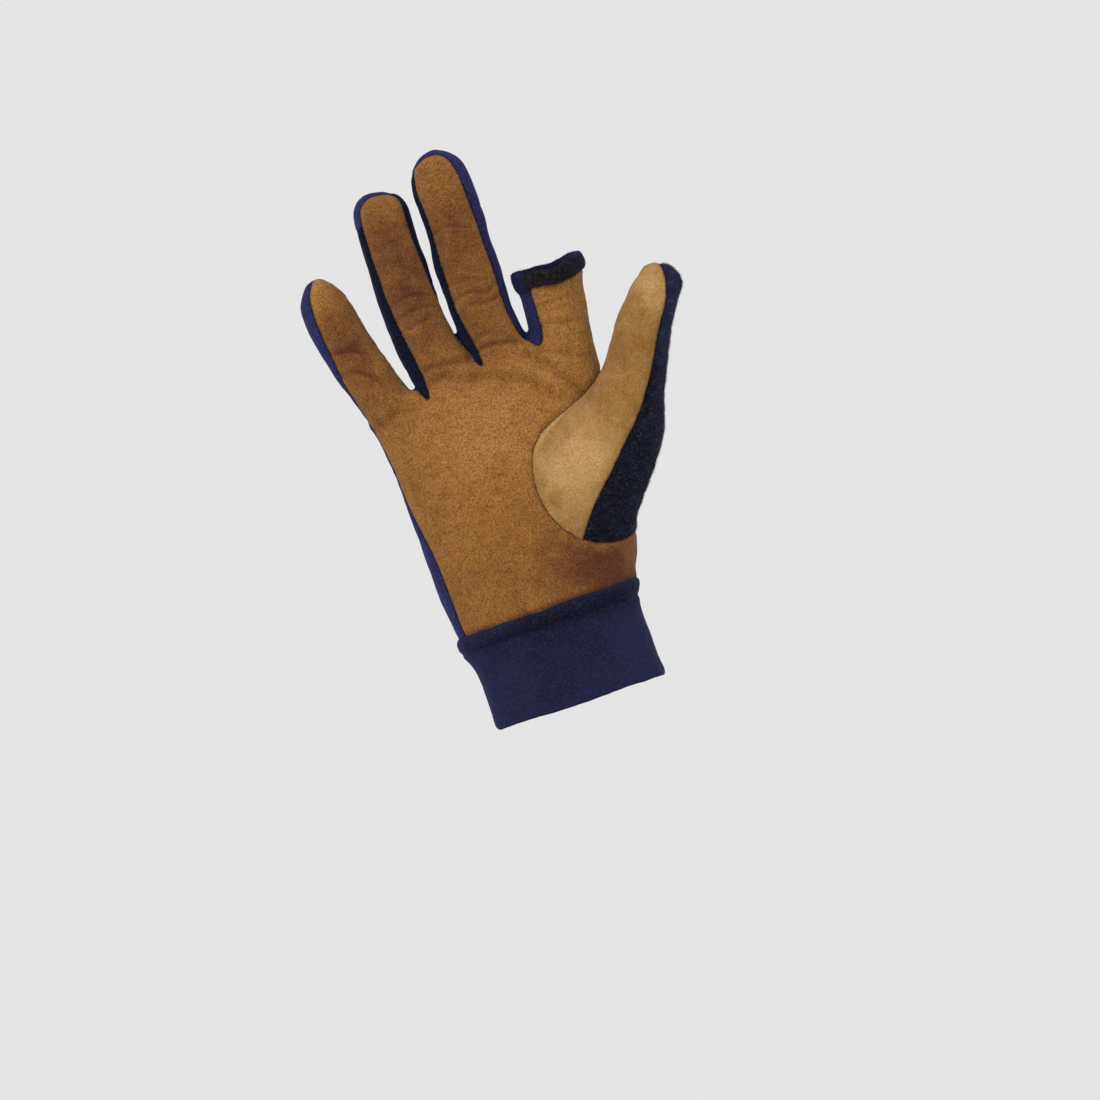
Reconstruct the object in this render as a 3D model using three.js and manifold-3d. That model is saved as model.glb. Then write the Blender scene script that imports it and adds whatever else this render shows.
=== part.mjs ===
// A winter glove for the right hand, filled out as when it is worn, with the index fingertip left open.
// The palm and the fronts of the fingers are one suede panel, and the back is one fleece panel that wraps round the
// outer side of the hand. Three fleece fourchettes fill the sides of the fingers and the forks between them. The
// thumb is a suede panel and a fleece panel, set into the palm. A double cuff with a rolled top closes the wrist, and
// a soft hem goes round the open end of the index finger: a charcoal band in front, and a navy roll behind.
// Units are millimetres. +Z runs up the hand, +X is the thumb's side, and the palm faces -Y. The origin is the
// middle of the wrist opening, where the hand goes in.
import * as THREE from "three";
import { mergeVertices } from "three/addons/utils/BufferGeometryUtils.js";
import Module from "manifold-3d";

const wasm = await Module();
wasm.setup();

// Cuff
const cuffHeight = 41;
const cuffWidth = 73;
const cuffDepth = 50;
const cuffWall = 3.2;

// Hand
const palmLength = 103;
const palmWidth = 95;
const palmDepth = 34;
const panelWall = 1.6;
const seamGap = 0.3;

// Fingers and thumb
const fingerCurl = 7;
const rearSeam = 5;
const tipPanelShare = 0.06;
const thumbLength = 120;
const thumbDepth = 22;
const moundDepth = 40;
const thumbTipLength = 15;

// Hem of the open finger: the charcoal band covers the front, between two angles in degrees, and the roll the rest
const openFinger = "index";
const bandHeight = 6.3;
const bandThickness = 3;
const rollHeight = 8.8;
const rollThickness = 4.6;
const bandLeft = -54;
const bandRight = 60;

// How finely the round forms are divided
const bodySides = 30;
const fingerSides = 16;
const thumbSides = 20;
const tipSteps = 4;
const rimSteps = 2;
const cutGrain = 0.01;

// Cuff, bottom to top: up is a share of its height, left, right, front and rear are shares of its width and depth
const cuffSections = [
  { up: 0.0, left: 0.482, right: 0.511, front: 0.5, rear: 0.5 },
  { up: 0.5, left: 0.49, right: 0.505, front: 0.49, rear: 0.49 },
  { up: 0.8, left: 0.502, right: 0.502, front: 0.485, rear: 0.485 },
  { up: 0.9, left: 0.545, right: 0.53, front: 0.515, rear: 0.515 },
  { up: 1.0, left: 0.543, right: 0.543, front: 0.515, rear: 0.515 },
];

// The hand from the cuff to the forks of the fingers: up is a share of the palm's length, left and right of its width,
// front and rear of its depth. slant is how far the right edge rises above the middle, and seam is where the palm
// panel ends on the outer side, as a share of the reach to the left.
const bodySections = [
  { up: 0.0, left: 0.405, right: 0.405, front: 0.71, rear: 0.7, slant: 0, seam: 0.92 },
  { up: 0.08, left: 0.418, right: 0.425, front: 0.69, rear: 0.67, slant: 0, seam: 0.92 },
  { up: 0.19, left: 0.426, right: 0.452, front: 0.65, rear: 0.62, slant: 0, seam: 0.9 },
  { up: 0.33, left: 0.432, right: 0.472, front: 0.59, rear: 0.59, slant: 0, seam: 0.91 },
  { up: 0.47, left: 0.437, right: 0.492, front: 0.55, rear: 0.57, slant: 0, seam: 0.95 },
  { up: 0.63, left: 0.443, right: 0.515, front: 0.51, rear: 0.54, slant: 0, seam: 0.975 },
  { up: 0.78, left: 0.455, right: 0.537, front: 0.49, rear: 0.51, slant: 0, seam: 0.98 },
  { up: 0.88, left: 0.474, right: 0.548, front: 0.45, rear: 0.46, slant: 0.025, seam: 0.98 },
  { up: 0.95, left: 0.478, right: 0.548, front: 0.41, rear: 0.41, slant: 0.04, seam: 0.97 },
  { up: 1.0, left: 0.46, right: 0.53, front: 0.33, rear: 0.32, slant: 0.05, seam: 0.97 },
];
const bodySquareness = 2.5;

// Fingers, from the outer side to the thumb's. length, width and depth are shares of the palm's own, and rootX and
// rootUp of its width and length. lean and bow are how far the tip and the middle stand to the right, as shares of
// the finger's length. leftEdge and rightEdge are where the palm panel ends, at the root, the middle and the tip, as
// shares of half the finger's width.
const fingers = [
  { name: "little", length: 0.728, width: 0.238, depth: 0.574, rootX: -0.31, rootUp: 0.803, lean: -0.266, bow: -0.028,
    leftEdge: [-0.95, -0.65, -0.4], rightEdge: [1.3, 1.3, 1.3] },
  { name: "ring", length: 0.985, width: 0.257, depth: 0.632, rootX: -0.097, rootUp: 0.81, lean: -0.044, bow: -0.023,
    leftEdge: [-0.55, -0.7, -0.75], rightEdge: [1.2, 0.92, 0.78] },
  { name: "middle", length: 1.063, width: 0.267, depth: 0.662, rootX: 0.165, rootUp: 0.81, lean: -0.009, bow: -0.018,
    leftEdge: [-0.6, -0.87, -0.92], rightEdge: [1.05, 0.74, 0.62] },
  { name: "index", length: 0.408, width: 0.272, depth: 0.676, rootX: 0.397, rootUp: 0.81, lean: 0.124, bow: 0,
    leftEdge: [-0.6, -0.6, -0.68], rightEdge: [1.3, 1.3, 1.3] },
].map((finger) => ({
  ...finger,
  length: finger.length * palmLength,
  width: finger.width * palmWidth,
  depth: finger.depth * palmDepth,
}));

// A finger from its root to its tip: at is a share of its length, and wide, front and rear are shares of its width
// and depth. The dips in front are the creases of its joints. The open finger keeps its width to the end.
const fingerSections = [
  { at: 0.0, wide: 1.0, front: 1.0, rear: 1.0 },
  { at: 0.28, wide: 1.03, front: 1.03, rear: 1.0 },
  { at: 0.42, wide: 1.02, front: 1.02, rear: 1.03 },
  { at: 0.5, wide: 1.01, front: 0.94, rear: 1.05 },
  { at: 0.6, wide: 0.99, front: 1.0, rear: 1.0 },
  { at: 0.74, wide: 0.97, front: 0.96, rear: 0.98 },
  { at: 0.87, wide: 0.95, front: 1.0, rear: 0.94 },
];
const openSections = [
  { at: 0.0, wide: 1.0, front: 1.0, rear: 1.0 },
  { at: 0.55, wide: 0.99, front: 0.99, rear: 1.0 },
  { at: 1.0, wide: 1.05, front: 0.98, rear: 1.0 },
];
const fingerSquareness = 2.2;
const tipSquareness = 2.5;

// Where the palm panel turns in each fork, left to right, as shares of the palm's width and length
const forks = [
  { x: -0.205, up: 0.939 },
  { x: 0.063, up: 0.992 },
  { x: 0.332, up: 0.992 },
];

// The thumb, from the heel of its mound. heelX and heelUp are shares of the palm's width and length. side, rise and
// ahead say how far its middle line is to the right, up and forward, as shares of its length. wide is a share of its
// length too, deep goes from the shaft (0) to the mound (1), and seam is where suede meets fleece, in degrees.
const heelX = 0.21;
const heelUp = 0.2;
const thumbSections = [
  { side: 0.03, rise: -0.005, ahead: 0.03, wide: 0.14, deep: 0.0, seam: 10 },
  { side: 0.055, rise: 0.038, ahead: 0.04, wide: 0.26, deep: 0.45, seam: 0 },
  { side: 0.075, rise: 0.117, ahead: 0.055, wide: 0.36, deep: 0.8, seam: 10 },
  { side: 0.118, rise: 0.22, ahead: 0.075, wide: 0.405, deep: 1.0, seam: 18 },
  { side: 0.201, rise: 0.292, ahead: 0.095, wide: 0.375, deep: 0.85, seam: 19 },
  { side: 0.287, rise: 0.36, ahead: 0.12, wide: 0.31, deep: 0.6, seam: 20 },
  { side: 0.344, rise: 0.452, ahead: 0.145, wide: 0.253, deep: 0.36, seam: 25 },
  { side: 0.398, rise: 0.536, ahead: 0.165, wide: 0.212, deep: 0.14, seam: 31 },
  { side: 0.452, rise: 0.64, ahead: 0.185, wide: 0.197, deep: 0.02, seam: 35 },
  { side: 0.5, rise: 0.702, ahead: 0.195, wide: 0.18, deep: -0.05, seam: 32 },
];
const thumbEnd = { side: 0.592, rise: 0.812, ahead: 0.2, seam: -20 };
const thumbLap = -112;

const handFoot = cuffHeight + seamGap;
const far = 2 * palmWidth;
const FRONT = new THREE.Vector3(0, -1, 0);

// How far forward the middle of the glove's thickness is at a height: the fingers curl a little towards the palm
function middleDepth(z) {
  const start = handFoot + 0.7 * palmLength;
  return -fingerCurl * (Math.max(z - start, 0) / (1.3 * palmLength)) ** 1.5;
}

// One cross-section of a limb: its middle, the directions to its right and its front, and its reach on four sides
function section(centre, across, ahead, [left, right, front, rear], squareness) {
  return { centre, across, ahead, left, right, front, rear, squareness };
}

// A section square to a line at a share of it, with its front towards the palm's
function squareTo(line, share, reach, squareness) {
  const axis = line.getTangent(share);
  const across = new THREE.Vector3().crossVectors(axis, FRONT).normalize();
  const ahead = new THREE.Vector3().crossVectors(across, axis).normalize();
  return section(line.getPoint(share), across, ahead, reach, squareness);
}

function axisOf({ across, ahead }) {
  return new THREE.Vector3().crossVectors(ahead, across).normalize();
}

// The point of a section at an angle round from its front
function ringPoint(s, degrees, inset = 0) {
  const angle = THREE.MathUtils.degToRad(degrees);
  const share = (value) => Math.sign(value) * Math.abs(value) ** (2 / s.squareness);
  const aside = (Math.sin(angle) < 0 ? s.left : s.right) - inset;
  const forward = (Math.cos(angle) > 0 ? s.front : s.rear) - inset;
  return s.centre
    .clone()
    .addScaledVector(s.across, share(Math.sin(angle)) * aside)
    .addScaledVector(s.ahead, share(Math.cos(angle)) * forward);
}

// A solid from a closed skin
function solidFrom(geometry) {
  const bare = new THREE.BufferGeometry().setAttribute("position", geometry.getAttribute("position"));
  bare.setIndex(geometry.index);
  const merged = mergeVertices(bare, 1e-4);
  const vertProperties = merged.attributes.position.array;
  return new wasm.Manifold(new wasm.Mesh({ numProp: 3, vertProperties, triVerts: merged.index.array }));
}

// Joins rows of equally many points, each row a closed loop, and closes both ends or joins the last to the first
function loft(rows, ring = false) {
  const count = rows[0].length;
  const triangles = [];
  rows.slice(0, ring ? rows.length : -1).forEach((_, r) => {
    const next = ((r + 1) % rows.length) * count;
    for (let i = 0; i < count; i++) {
      const [a, b] = [r * count + i, r * count + ((i + 1) % count)];
      triangles.push(a, b, next + b - r * count, a, next + b - r * count, next + a - r * count);
    }
  });
  const last = (rows.length - 1) * count;
  for (let i = 1; i + 1 < count && !ring; i++) {
    triangles.push(0, i + 1, i, last, last + i, last + i + 1);
  }
  const geometry = new THREE.BufferGeometry().setFromPoints(rows.flat());
  geometry.setIndex(triangles);
  return solidFrom(geometry);
}

// A whole limb through its sections
function limb(sections, sides) {
  return loft(sections.map((s) => Array.from({ length: sides }, (_, i) => ringPoint(s, (360 * i) / sides))));
}

// The part of a limb between two angles, as a wedge from its middle line, moved back, to outside its surface
function wedge(sections, sides, range, back) {
  return loft(
    sections.map((s, k) => {
      const [from, to] = range(k);
      const arc = Array.from({ length: sides + 1 }, (_, i) => ringPoint(s, from + ((to - from) * i) / sides, -2));
      const pivot = s.centre.clone().lerp(arc[sides / 2], -back / Math.min(s.left, s.front));
      return [pivot, ...arc];
    }),
  );
}

// A band of a given wall through the sections, with round rims, from one angle to another or the whole way round
function hoop(sections, sides, wall, from = 0, to = 360) {
  const half = wall / 2;
  const rim = (s, sign) =>
    Array.from({ length: 2 * rimSteps - 1 }, (_, i) => {
      const turn = (Math.PI * (i + 1)) / (2 * rimSteps);
      return { s, inset: half - sign * half * Math.cos(turn), lift: sign * half * Math.sin(turn) };
    });
  const lap = [
    ...sections.map((s) => ({ s, inset: 0, lift: 0 })),
    ...rim(sections.at(-1), 1),
    ...sections.map((s) => ({ s, inset: wall, lift: 0 })).reverse(),
    ...rim(sections[0], -1),
  ];
  const whole = to - from >= 360;
  const rows = Array.from({ length: whole ? sides : sides + 1 }, (_, i) =>
    lap.map(({ s, inset, lift }) =>
      ringPoint(s, from + ((to - from) * i) / sides, inset).addScaledVector(axisOf(s), lift),
    ),
  );
  return loft(rows.reverse(), whole);
}

// The outline in the front view, cut right through the glove
function throughY(points) {
  const geometry = new THREE.ExtrudeGeometry(new THREE.Shape(points), { depth: 2 * far, bevelEnabled: false });
  geometry.rotateX(Math.PI / 2).translate(0, far, 0);
  return solidFrom(mergeVertices(geometry.deleteAttribute("normal").deleteAttribute("uv"), 1e-4));
}

// Everything in front of the middle of the glove's thickness, or of that surface moved back
function inFrontOf(back) {
  const steps = 16;
  const top = handFoot + 3 * palmLength;
  const curve = Array.from({ length: steps + 1 }, (_, i) => {
    const z = -far + ((top + far) * i) / steps;
    return new THREE.Vector2(z, -(middleDepth(z) + back));
  });
  const shape = new THREE.Shape([...curve, new THREE.Vector2(top, far), new THREE.Vector2(-far, far)]);
  const geometry = new THREE.ExtrudeGeometry(shape, { depth: 2 * far, bevelEnabled: false });
  geometry.applyMatrix4(new THREE.Matrix4().set(0, 0, 1, -far, 0, -1, 0, 0, 1, 0, 0, 0, 0, 0, 0, 1));
  return solidFrom(mergeVertices(geometry.deleteAttribute("normal").deleteAttribute("uv"), 1e-4));
}

// An outline with each corner moved outward
function grown(points, distance) {
  return points.map((p, i) => {
    const before = points[(i + points.length - 1) % points.length];
    const after = points[(i + 1) % points.length];
    const [a, b] = [p.clone().sub(before).normalize(), after.clone().sub(p).normalize()];
    const normal = new THREE.Vector2(-(a.y + b.y), a.x + b.x).normalize();
    const spread = Math.max(normal.x * -a.y + normal.y * a.x, 0.5);
    return p.clone().addScaledVector(normal, distance / spread);
  });
}

function union(solids) {
  return solids.reduce((all, one) => all.add(one));
}

function bodyRows(inset = 0) {
  const rows = bodySections.map((row) => {
    const z = handFoot + row.up * palmLength;
    const reach = [row.left * palmWidth, row.right * palmWidth, row.front * palmDepth, row.rear * palmDepth];
    const rise = (row.slant * palmLength) / (row.right * palmWidth);
    return section(new THREE.Vector3(0, middleDepth(z), z), new THREE.Vector3(1, 0, rise), FRONT,
      reach.map((side) => side - inset), bodySquareness);
  });
  rows.at(-1).centre.z -= inset;
  return rows;
}

// The middle line of a finger, from its root inside the palm to the end of its tip
function fingerLine(finger) {
  const steps = 6;
  return new THREE.CatmullRomCurve3(
    Array.from({ length: steps + 1 }, (_, i) => {
      const at = i / steps;
      const z = handFoot + finger.rootUp * palmLength + at * finger.length;
      const aside = finger.lean * at + 4 * finger.bow * at * (1 - at);
      return new THREE.Vector3(finger.rootX * palmWidth + aside * finger.length, middleDepth(z), z);
    }),
  );
}

// Rows that round a limb off, from one share of its line to another
function tipRows(line, from, to, reach, squareness) {
  return Array.from({ length: tipSteps }, (_, i) => {
    const gone = Math.sin(((i + 1) / tipSteps) * (Math.PI / 2) * 0.95);
    const left = (1 - gone ** tipSquareness) ** (1 / tipSquareness);
    return squareTo(line, from + gone * (to - from), reach.map((side) => side * left), squareness);
  });
}

function fingerRows(finger, inset = 0) {
  const line = fingerLine(finger);
  const rows = finger.name === openFinger ? openSections : fingerSections;
  const reach = ({ wide, front, rear }) =>
    [wide * finger.width, wide * finger.width, front * finger.depth, rear * finger.depth].map(
      (side) => side / 2 - inset,
    );
  const made = rows.map((row) => squareTo(line, row.at, reach(row), fingerSquareness));
  if (finger.name === openFinger) return made;
  const end = rows.at(-1);
  return [...made, ...tipRows(line, end.at, 1 - inset / finger.length, reach(end), fingerSquareness)];
}

function thumbRows(inset = 0) {
  const heel = new THREE.Vector3(heelX * palmWidth, 0, handFoot + heelUp * palmLength);
  const line = new THREE.CatmullRomCurve3(
    [...thumbSections, thumbEnd].map(({ side, rise, ahead }) =>
      new THREE.Vector3(side, -ahead, rise).multiplyScalar(thumbLength).add(heel),
    ),
  );
  const shaft = (thumbSections.length - 1) / thumbSections.length;
  const reach = ({ wide, deep }) => {
    const aside = (wide * thumbLength) / 2 - inset;
    const ahead = (thumbDepth + deep * (moundDepth - thumbDepth)) / 2 - inset;
    return [aside, aside, ahead, ahead];
  };
  const made = thumbSections.map((row, k) => squareTo(line, (k * shaft) / (thumbSections.length - 1), reach(row), 2.1));
  made[0].centre.addScaledVector(axisOf(made[0]), inset);
  return [...made, ...tipRows(line, shaft, 1 - (inset / thumbTipLength) * (1 - shaft), reach(thumbSections.at(-1)), 2.1)];
}

// The palm panel's outline in the front view: up the outer side, round each finger, and down the thumb's side
function palmOutline() {
  const at = (x, z) => new THREE.Vector2(x, z);
  const outer = bodySections.slice(0, -1).map((row) =>
    at(-row.left * row.seam * palmWidth, handFoot + (row.up - (row.up ? 0 : 0.1)) * palmLength));
  const strip = (finger) => {
    const line = fingerLine(finger);
    const start = (palmLength * (1.02 - finger.rootUp)) / finger.length;
    const side = (edges, order) =>
      order.map((k) => {
        const p = line.getPoint(start + ((1 - start) * k) / 2);
        return at(p.x + (edges[k] * finger.width) / 2, p.z + (k === 2 ? palmLength / 20 : 0));
      });
    return [...side(finger.leftEdge, [0, 1, 2]), ...side(finger.rightEdge, [2, 1, 0])];
  };
  const points = fingers.flatMap((finger, k) => {
    const fork = forks[k];
    return [...strip(finger), ...(fork ? [at(fork.x * palmWidth, handFoot + fork.up * palmLength)] : [])];
  });
  return [...outer, ...points, at(0.7 * palmWidth, handFoot + 0.7 * palmLength),
    at(0.7 * palmWidth, handFoot - 0.1 * palmLength)];
}

// A fourchette's outline in the front view: the space between the middle lines of two neighbouring fingers
function forkOutline(left, right) {
  const trace = (finger) => {
    const line = fingerLine(finger);
    const end = finger.name === openFinger ? 1.3 : 1 - tipPanelShare;
    return [0, 0.25, 0.5, 0.75, 1].map((share) => line.getPoint(Math.min(share * end, 1)));
  };
  return [...trace(left), ...trace(right).reverse()].map((p) => new THREE.Vector2(p.x, p.z));
}

// The hand's outside and its hollow, which runs on through the cuff and out of the open finger
const sized = (inset) => fingers.map((finger) => {
  const rows = fingerRows(finger, inset);
  if (finger.name !== openFinger || !inset) return limb(rows, fingerSides);
  const end = rows.at(-1);
  const beyond = end.centre.clone().addScaledVector(axisOf(end), 2 * rollHeight);
  return limb([...rows, { ...end, centre: beyond }], fingerSides);
});
const inner = bodyRows(panelWall);
const entry = { ...inner[0], centre: new THREE.Vector3(0, 0, -palmDepth / 4) };
const outside = union([limb(bodyRows(), bodySides), ...sized(0)]);
const hollow = union([limb([entry, ...inner], bodySides), ...sized(panelWall)]);
const thumbInside = limb(thumbRows(panelWall), thumbSides);
const skin = outside.subtract(hollow).subtract(limb(thumbRows(-seamGap), thumbSides));

// Each panel is the part of that skin inside its own outline
const palmRegion = (gap) => inFrontOf(gap).intersect(throughY(grown(palmOutline(), gap)));
const forkRegions = (gap) =>
  forks.map((_, k) => inFrontOf(rearSeam + gap).intersect(throughY(grown(forkOutline(fingers[k], fingers[k + 1]), gap))));
const beside = palmRegion(seamGap);
const fourchettes = forkRegions(0).map((region) => skin.intersect(region).subtract(beside));
const back = skin.subtract(beside).subtract(union(forkRegions(seamGap)));

const thumbSkin = limb(thumbRows(), thumbSides).subtract(thumbInside).subtract(hollow);
const thumbFront = (growth, back) =>
  wedge(thumbRows(-seamGap), thumbSides, (k) => [thumbLap - growth, (thumbSections[k] ?? thumbEnd).seam + growth], back);

const cuffRows = cuffSections.map((row) =>
  section(new THREE.Vector3(0, 0, THREE.MathUtils.lerp(cuffWall / 2, cuffHeight - cuffWall / 2, row.up)),
    new THREE.Vector3(1, 0, 0), FRONT,
    [row.left * cuffWidth, row.right * cuffWidth, row.front * cuffDepth, row.rear * cuffDepth], bodySquareness));

// The hem stands on the end of the open finger
const openEnd = fingerRows(fingers.find((finger) => finger.name === openFinger)).at(-1);
const hem = (height, thickness, bulge, from, to, sides) => {
  const up = (distance) => ({ ...openEnd, centre: openEnd.centre.clone().addScaledVector(axisOf(openEnd), distance) });
  const wider = (s) => section(s.centre, s.across, s.ahead,
    [s.left, s.right, s.front, s.rear].map((side) => side + bulge), s.squareness);
  const half = thickness / 2;
  return hoop([wider(up(seamGap + half)), wider(up(height - half))], sides, thickness, from, to);
};

const suede = { color: 0xa5733c, roughness: 0.95, metalness: 0 };
const thumbSuede = { color: 0xb9874b, roughness: 0.95, metalness: 0 };
const navy = { color: 0x26264f, roughness: 0.9, metalness: 0 };
const darkNavy = { color: 0x14162a, roughness: 0.95, metalness: 0 };
const charcoal = { color: 0x1e2026, roughness: 0.95, metalness: 0 };

// A cut can leave crumbs of a panel beyond its seam, and only the panel itself is kept
function withoutCrumbs(piece) {
  return piece.decompose().reduce((most, one) => (one.volume() > most.volume() ? one : most));
}

const glove = new THREE.Group();
function addPiece(name, piece, look) {
  const made = withoutCrumbs(piece).getMesh();
  const rounded = made.vertProperties.map((value) => Math.round(value / cutGrain) * cutGrain);
  const raw = new THREE.BufferGeometry().setAttribute("position", new THREE.BufferAttribute(rounded, 3));
  raw.setIndex(new THREE.BufferAttribute(made.triVerts, 1));
  const geometry = mergeVertices(raw, cutGrain / 10);
  const corners = Array.from(geometry.index.array);
  geometry.setIndex(
    corners.filter((_, i) => {
      const [a, b, c] = corners.slice(i - (i % 3), i - (i % 3) + 3);
      return a !== b && b !== c && c !== a;
    }),
  );
  const mesh = new THREE.Mesh(geometry, new THREE.MeshStandardMaterial(look));
  mesh.name = name;
  glove.add(mesh);
}

addPiece("palm", skin.intersect(palmRegion(0)), suede);
addPiece("back", back, navy);
addPiece("fourchette_pinky_ring", fourchettes[0], darkNavy);
addPiece("fourchette_ring_middle", fourchettes[1], darkNavy);
addPiece("fourchette_middle_index", fourchettes[2], darkNavy);
addPiece("thumb_palm", thumbSkin.intersect(thumbFront(0, 0)), thumbSuede);
addPiece("thumb_back", thumbSkin.subtract(thumbFront(1, seamGap)), darkNavy);
addPiece("cuff", hoop(cuffRows, bodySides, cuffWall), navy);
addPiece("index_band", hem(bandHeight, bandThickness, 0.6, bandLeft, bandRight, 8), charcoal);
addPiece("index_hem_roll", hem(rollHeight, rollThickness, 1.6, bandRight + 2, 360 + bandLeft - 2, 16), navy);

export default glove;
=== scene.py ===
"""A winter glove for the right hand: suede palm, fleece back, cuffed wrist and an open index fingertip.

Every size is in millimetres in the glove's own frame: +Z up the hand, +X to the thumb's side, palm towards -Y.
The skin is lofted limb by limb, joined and remeshed, cut along its seams, shaped with folds and then given walls.
"""

from __future__ import annotations

import logging
import math
from dataclasses import dataclass, field
from enum import Enum

import bpy
import numpy as np
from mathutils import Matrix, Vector, kdtree, noise


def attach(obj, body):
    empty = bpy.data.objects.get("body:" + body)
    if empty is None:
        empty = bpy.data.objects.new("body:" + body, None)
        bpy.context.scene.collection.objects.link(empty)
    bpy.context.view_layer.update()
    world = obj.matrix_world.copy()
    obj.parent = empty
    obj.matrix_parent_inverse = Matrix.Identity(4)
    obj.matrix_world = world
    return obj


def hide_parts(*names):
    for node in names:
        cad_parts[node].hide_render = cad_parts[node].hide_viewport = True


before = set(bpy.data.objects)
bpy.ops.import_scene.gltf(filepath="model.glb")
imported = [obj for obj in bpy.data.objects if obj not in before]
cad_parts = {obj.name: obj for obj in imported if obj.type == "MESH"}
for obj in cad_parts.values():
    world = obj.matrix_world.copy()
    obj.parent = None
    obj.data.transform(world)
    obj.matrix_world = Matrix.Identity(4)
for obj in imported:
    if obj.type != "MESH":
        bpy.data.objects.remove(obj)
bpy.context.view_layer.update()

MM = 0.001
BEND_START, BEND_SPAN, BEND_DEPTH = 113.4, 133.9, 7
LOG = logging.getLogger("glove")

Array = np.ndarray
Piece = bpy.types.Object
Material = bpy.types.Material
Socket = bpy.types.NodeSocket
Colour = tuple[int, int, int]
Outline = list[tuple[float, float]]
Shape = tuple[np.ndarray, list[list[int]]]


class Panel(Enum):
    """The sewn panels of the hand, each named after the solid that it stands for."""

    PALM = "palm"
    BACK = "back"
    FORK_LITTLE_RING = "fourchette_pinky_ring"
    FORK_RING_MIDDLE = "fourchette_ring_middle"
    FORK_MIDDLE_INDEX = "fourchette_middle_index"
    THUMB_FRONT = "thumb_palm"
    THUMB_BACK = "thumb_back"

    @property
    def label(self) -> int:
        """The panel's number, which marks its triangles in the skin."""
        return list(Panel).index(self)


FORKS: list[Panel] = [Panel.FORK_LITTLE_RING, Panel.FORK_RING_MIDDLE, Panel.FORK_MIDDLE_INDEX]


# ---- small geometry helpers


def deselect_all() -> None:
    """Deselects every object, so that an operator acts on the new piece alone."""
    if bpy.context.object and bpy.context.object.mode != "OBJECT":
        bpy.ops.object.mode_set(mode="OBJECT")
    bpy.ops.object.select_all(action="DESELECT")


def activate(piece: Piece) -> None:
    """Makes one piece the only selected and the active one."""
    deselect_all()
    piece.select_set(True)
    bpy.context.view_layer.objects.active = piece


def edit_all(piece: Piece) -> None:
    """Opens one piece in edit mode with all of it selected."""
    activate(piece)
    bpy.ops.object.mode_set(mode="EDIT")
    bpy.ops.mesh.select_all(action="SELECT")


def apply_modifier(piece: Piece, kind: str, **settings: object) -> None:
    """Adds a modifier with the given settings and applies it.

    Args:
        piece: The object to finish.
        kind: The modifier's type.
        settings: Its properties.
    """
    activate(piece)
    modifier = piece.modifiers.new(kind.lower(), kind)
    for key, value in settings.items():
        setattr(modifier, key, value)
    bpy.ops.object.modifier_apply(modifier=modifier.name)


def coordinates(piece: Piece) -> Array:
    """The piece's vertices in millimetres, one row each."""
    flat = np.empty(len(piece.data.vertices) * 3, np.float32)
    piece.data.vertices.foreach_get("co", flat)
    return flat.reshape(-1, 3).astype(float) / MM


def place(piece: Piece, points: Array) -> None:
    """Moves the piece's vertices to the given points, in millimetres."""
    piece.data.vertices.foreach_set("co", (points * MM).astype(np.float32).ravel())
    piece.data.update()


def push_out(piece: Piece, out: Array) -> None:
    """Moves the piece's vertices outward along their normals, each by its own share in millimetres."""
    normals = np.empty(len(out) * 3, np.float32)
    piece.data.vertices.foreach_get("normal", normals)
    place(piece, coordinates(piece) + normals.reshape(-1, 3).astype(float) * out[:, None])


def paint(piece: Piece, key: str, values: Array) -> None:
    """Writes a value on each vertex for the finishes to read."""
    piece.data.attributes.new(key, "FLOAT", "POINT").data.foreach_set("value", values.astype(np.float32))


def new_piece(name: str, points: Array, faces: list[list[int]]) -> Piece:
    """Makes an object from points in millimetres and faces."""
    mesh = bpy.data.meshes.new(name)
    mesh.from_pydata((points * MM).tolist(), [], faces)
    piece = bpy.data.objects.new(name, mesh)
    bpy.context.scene.collection.objects.link(piece)
    return piece


def smooth_curve(points: Array, count: int) -> Array:
    """Draws a smooth curve through points.

    Args:
        points: The points to pass through, one row each, of any number of columns.
        count: How many points to return.

    Returns:
        The curve's points, evenly spaced in the given points' order.
    """
    padded = np.vstack([2 * points[0] - points[1], points, 2 * points[-1] - points[-2]])
    at = np.linspace(0, len(points) - 1, count)
    k = np.minimum(at.astype(int), len(points) - 2)
    t = (at - k)[:, None]
    a, b, c, d = padded[k], padded[k + 1], padded[k + 2], padded[k + 3]
    return 0.5 * (2 * b + (c - a) * t + (2 * a - 5 * b + 4 * c - d) * t**2 + (3 * b - 3 * c + d - a) * t**3)


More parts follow.
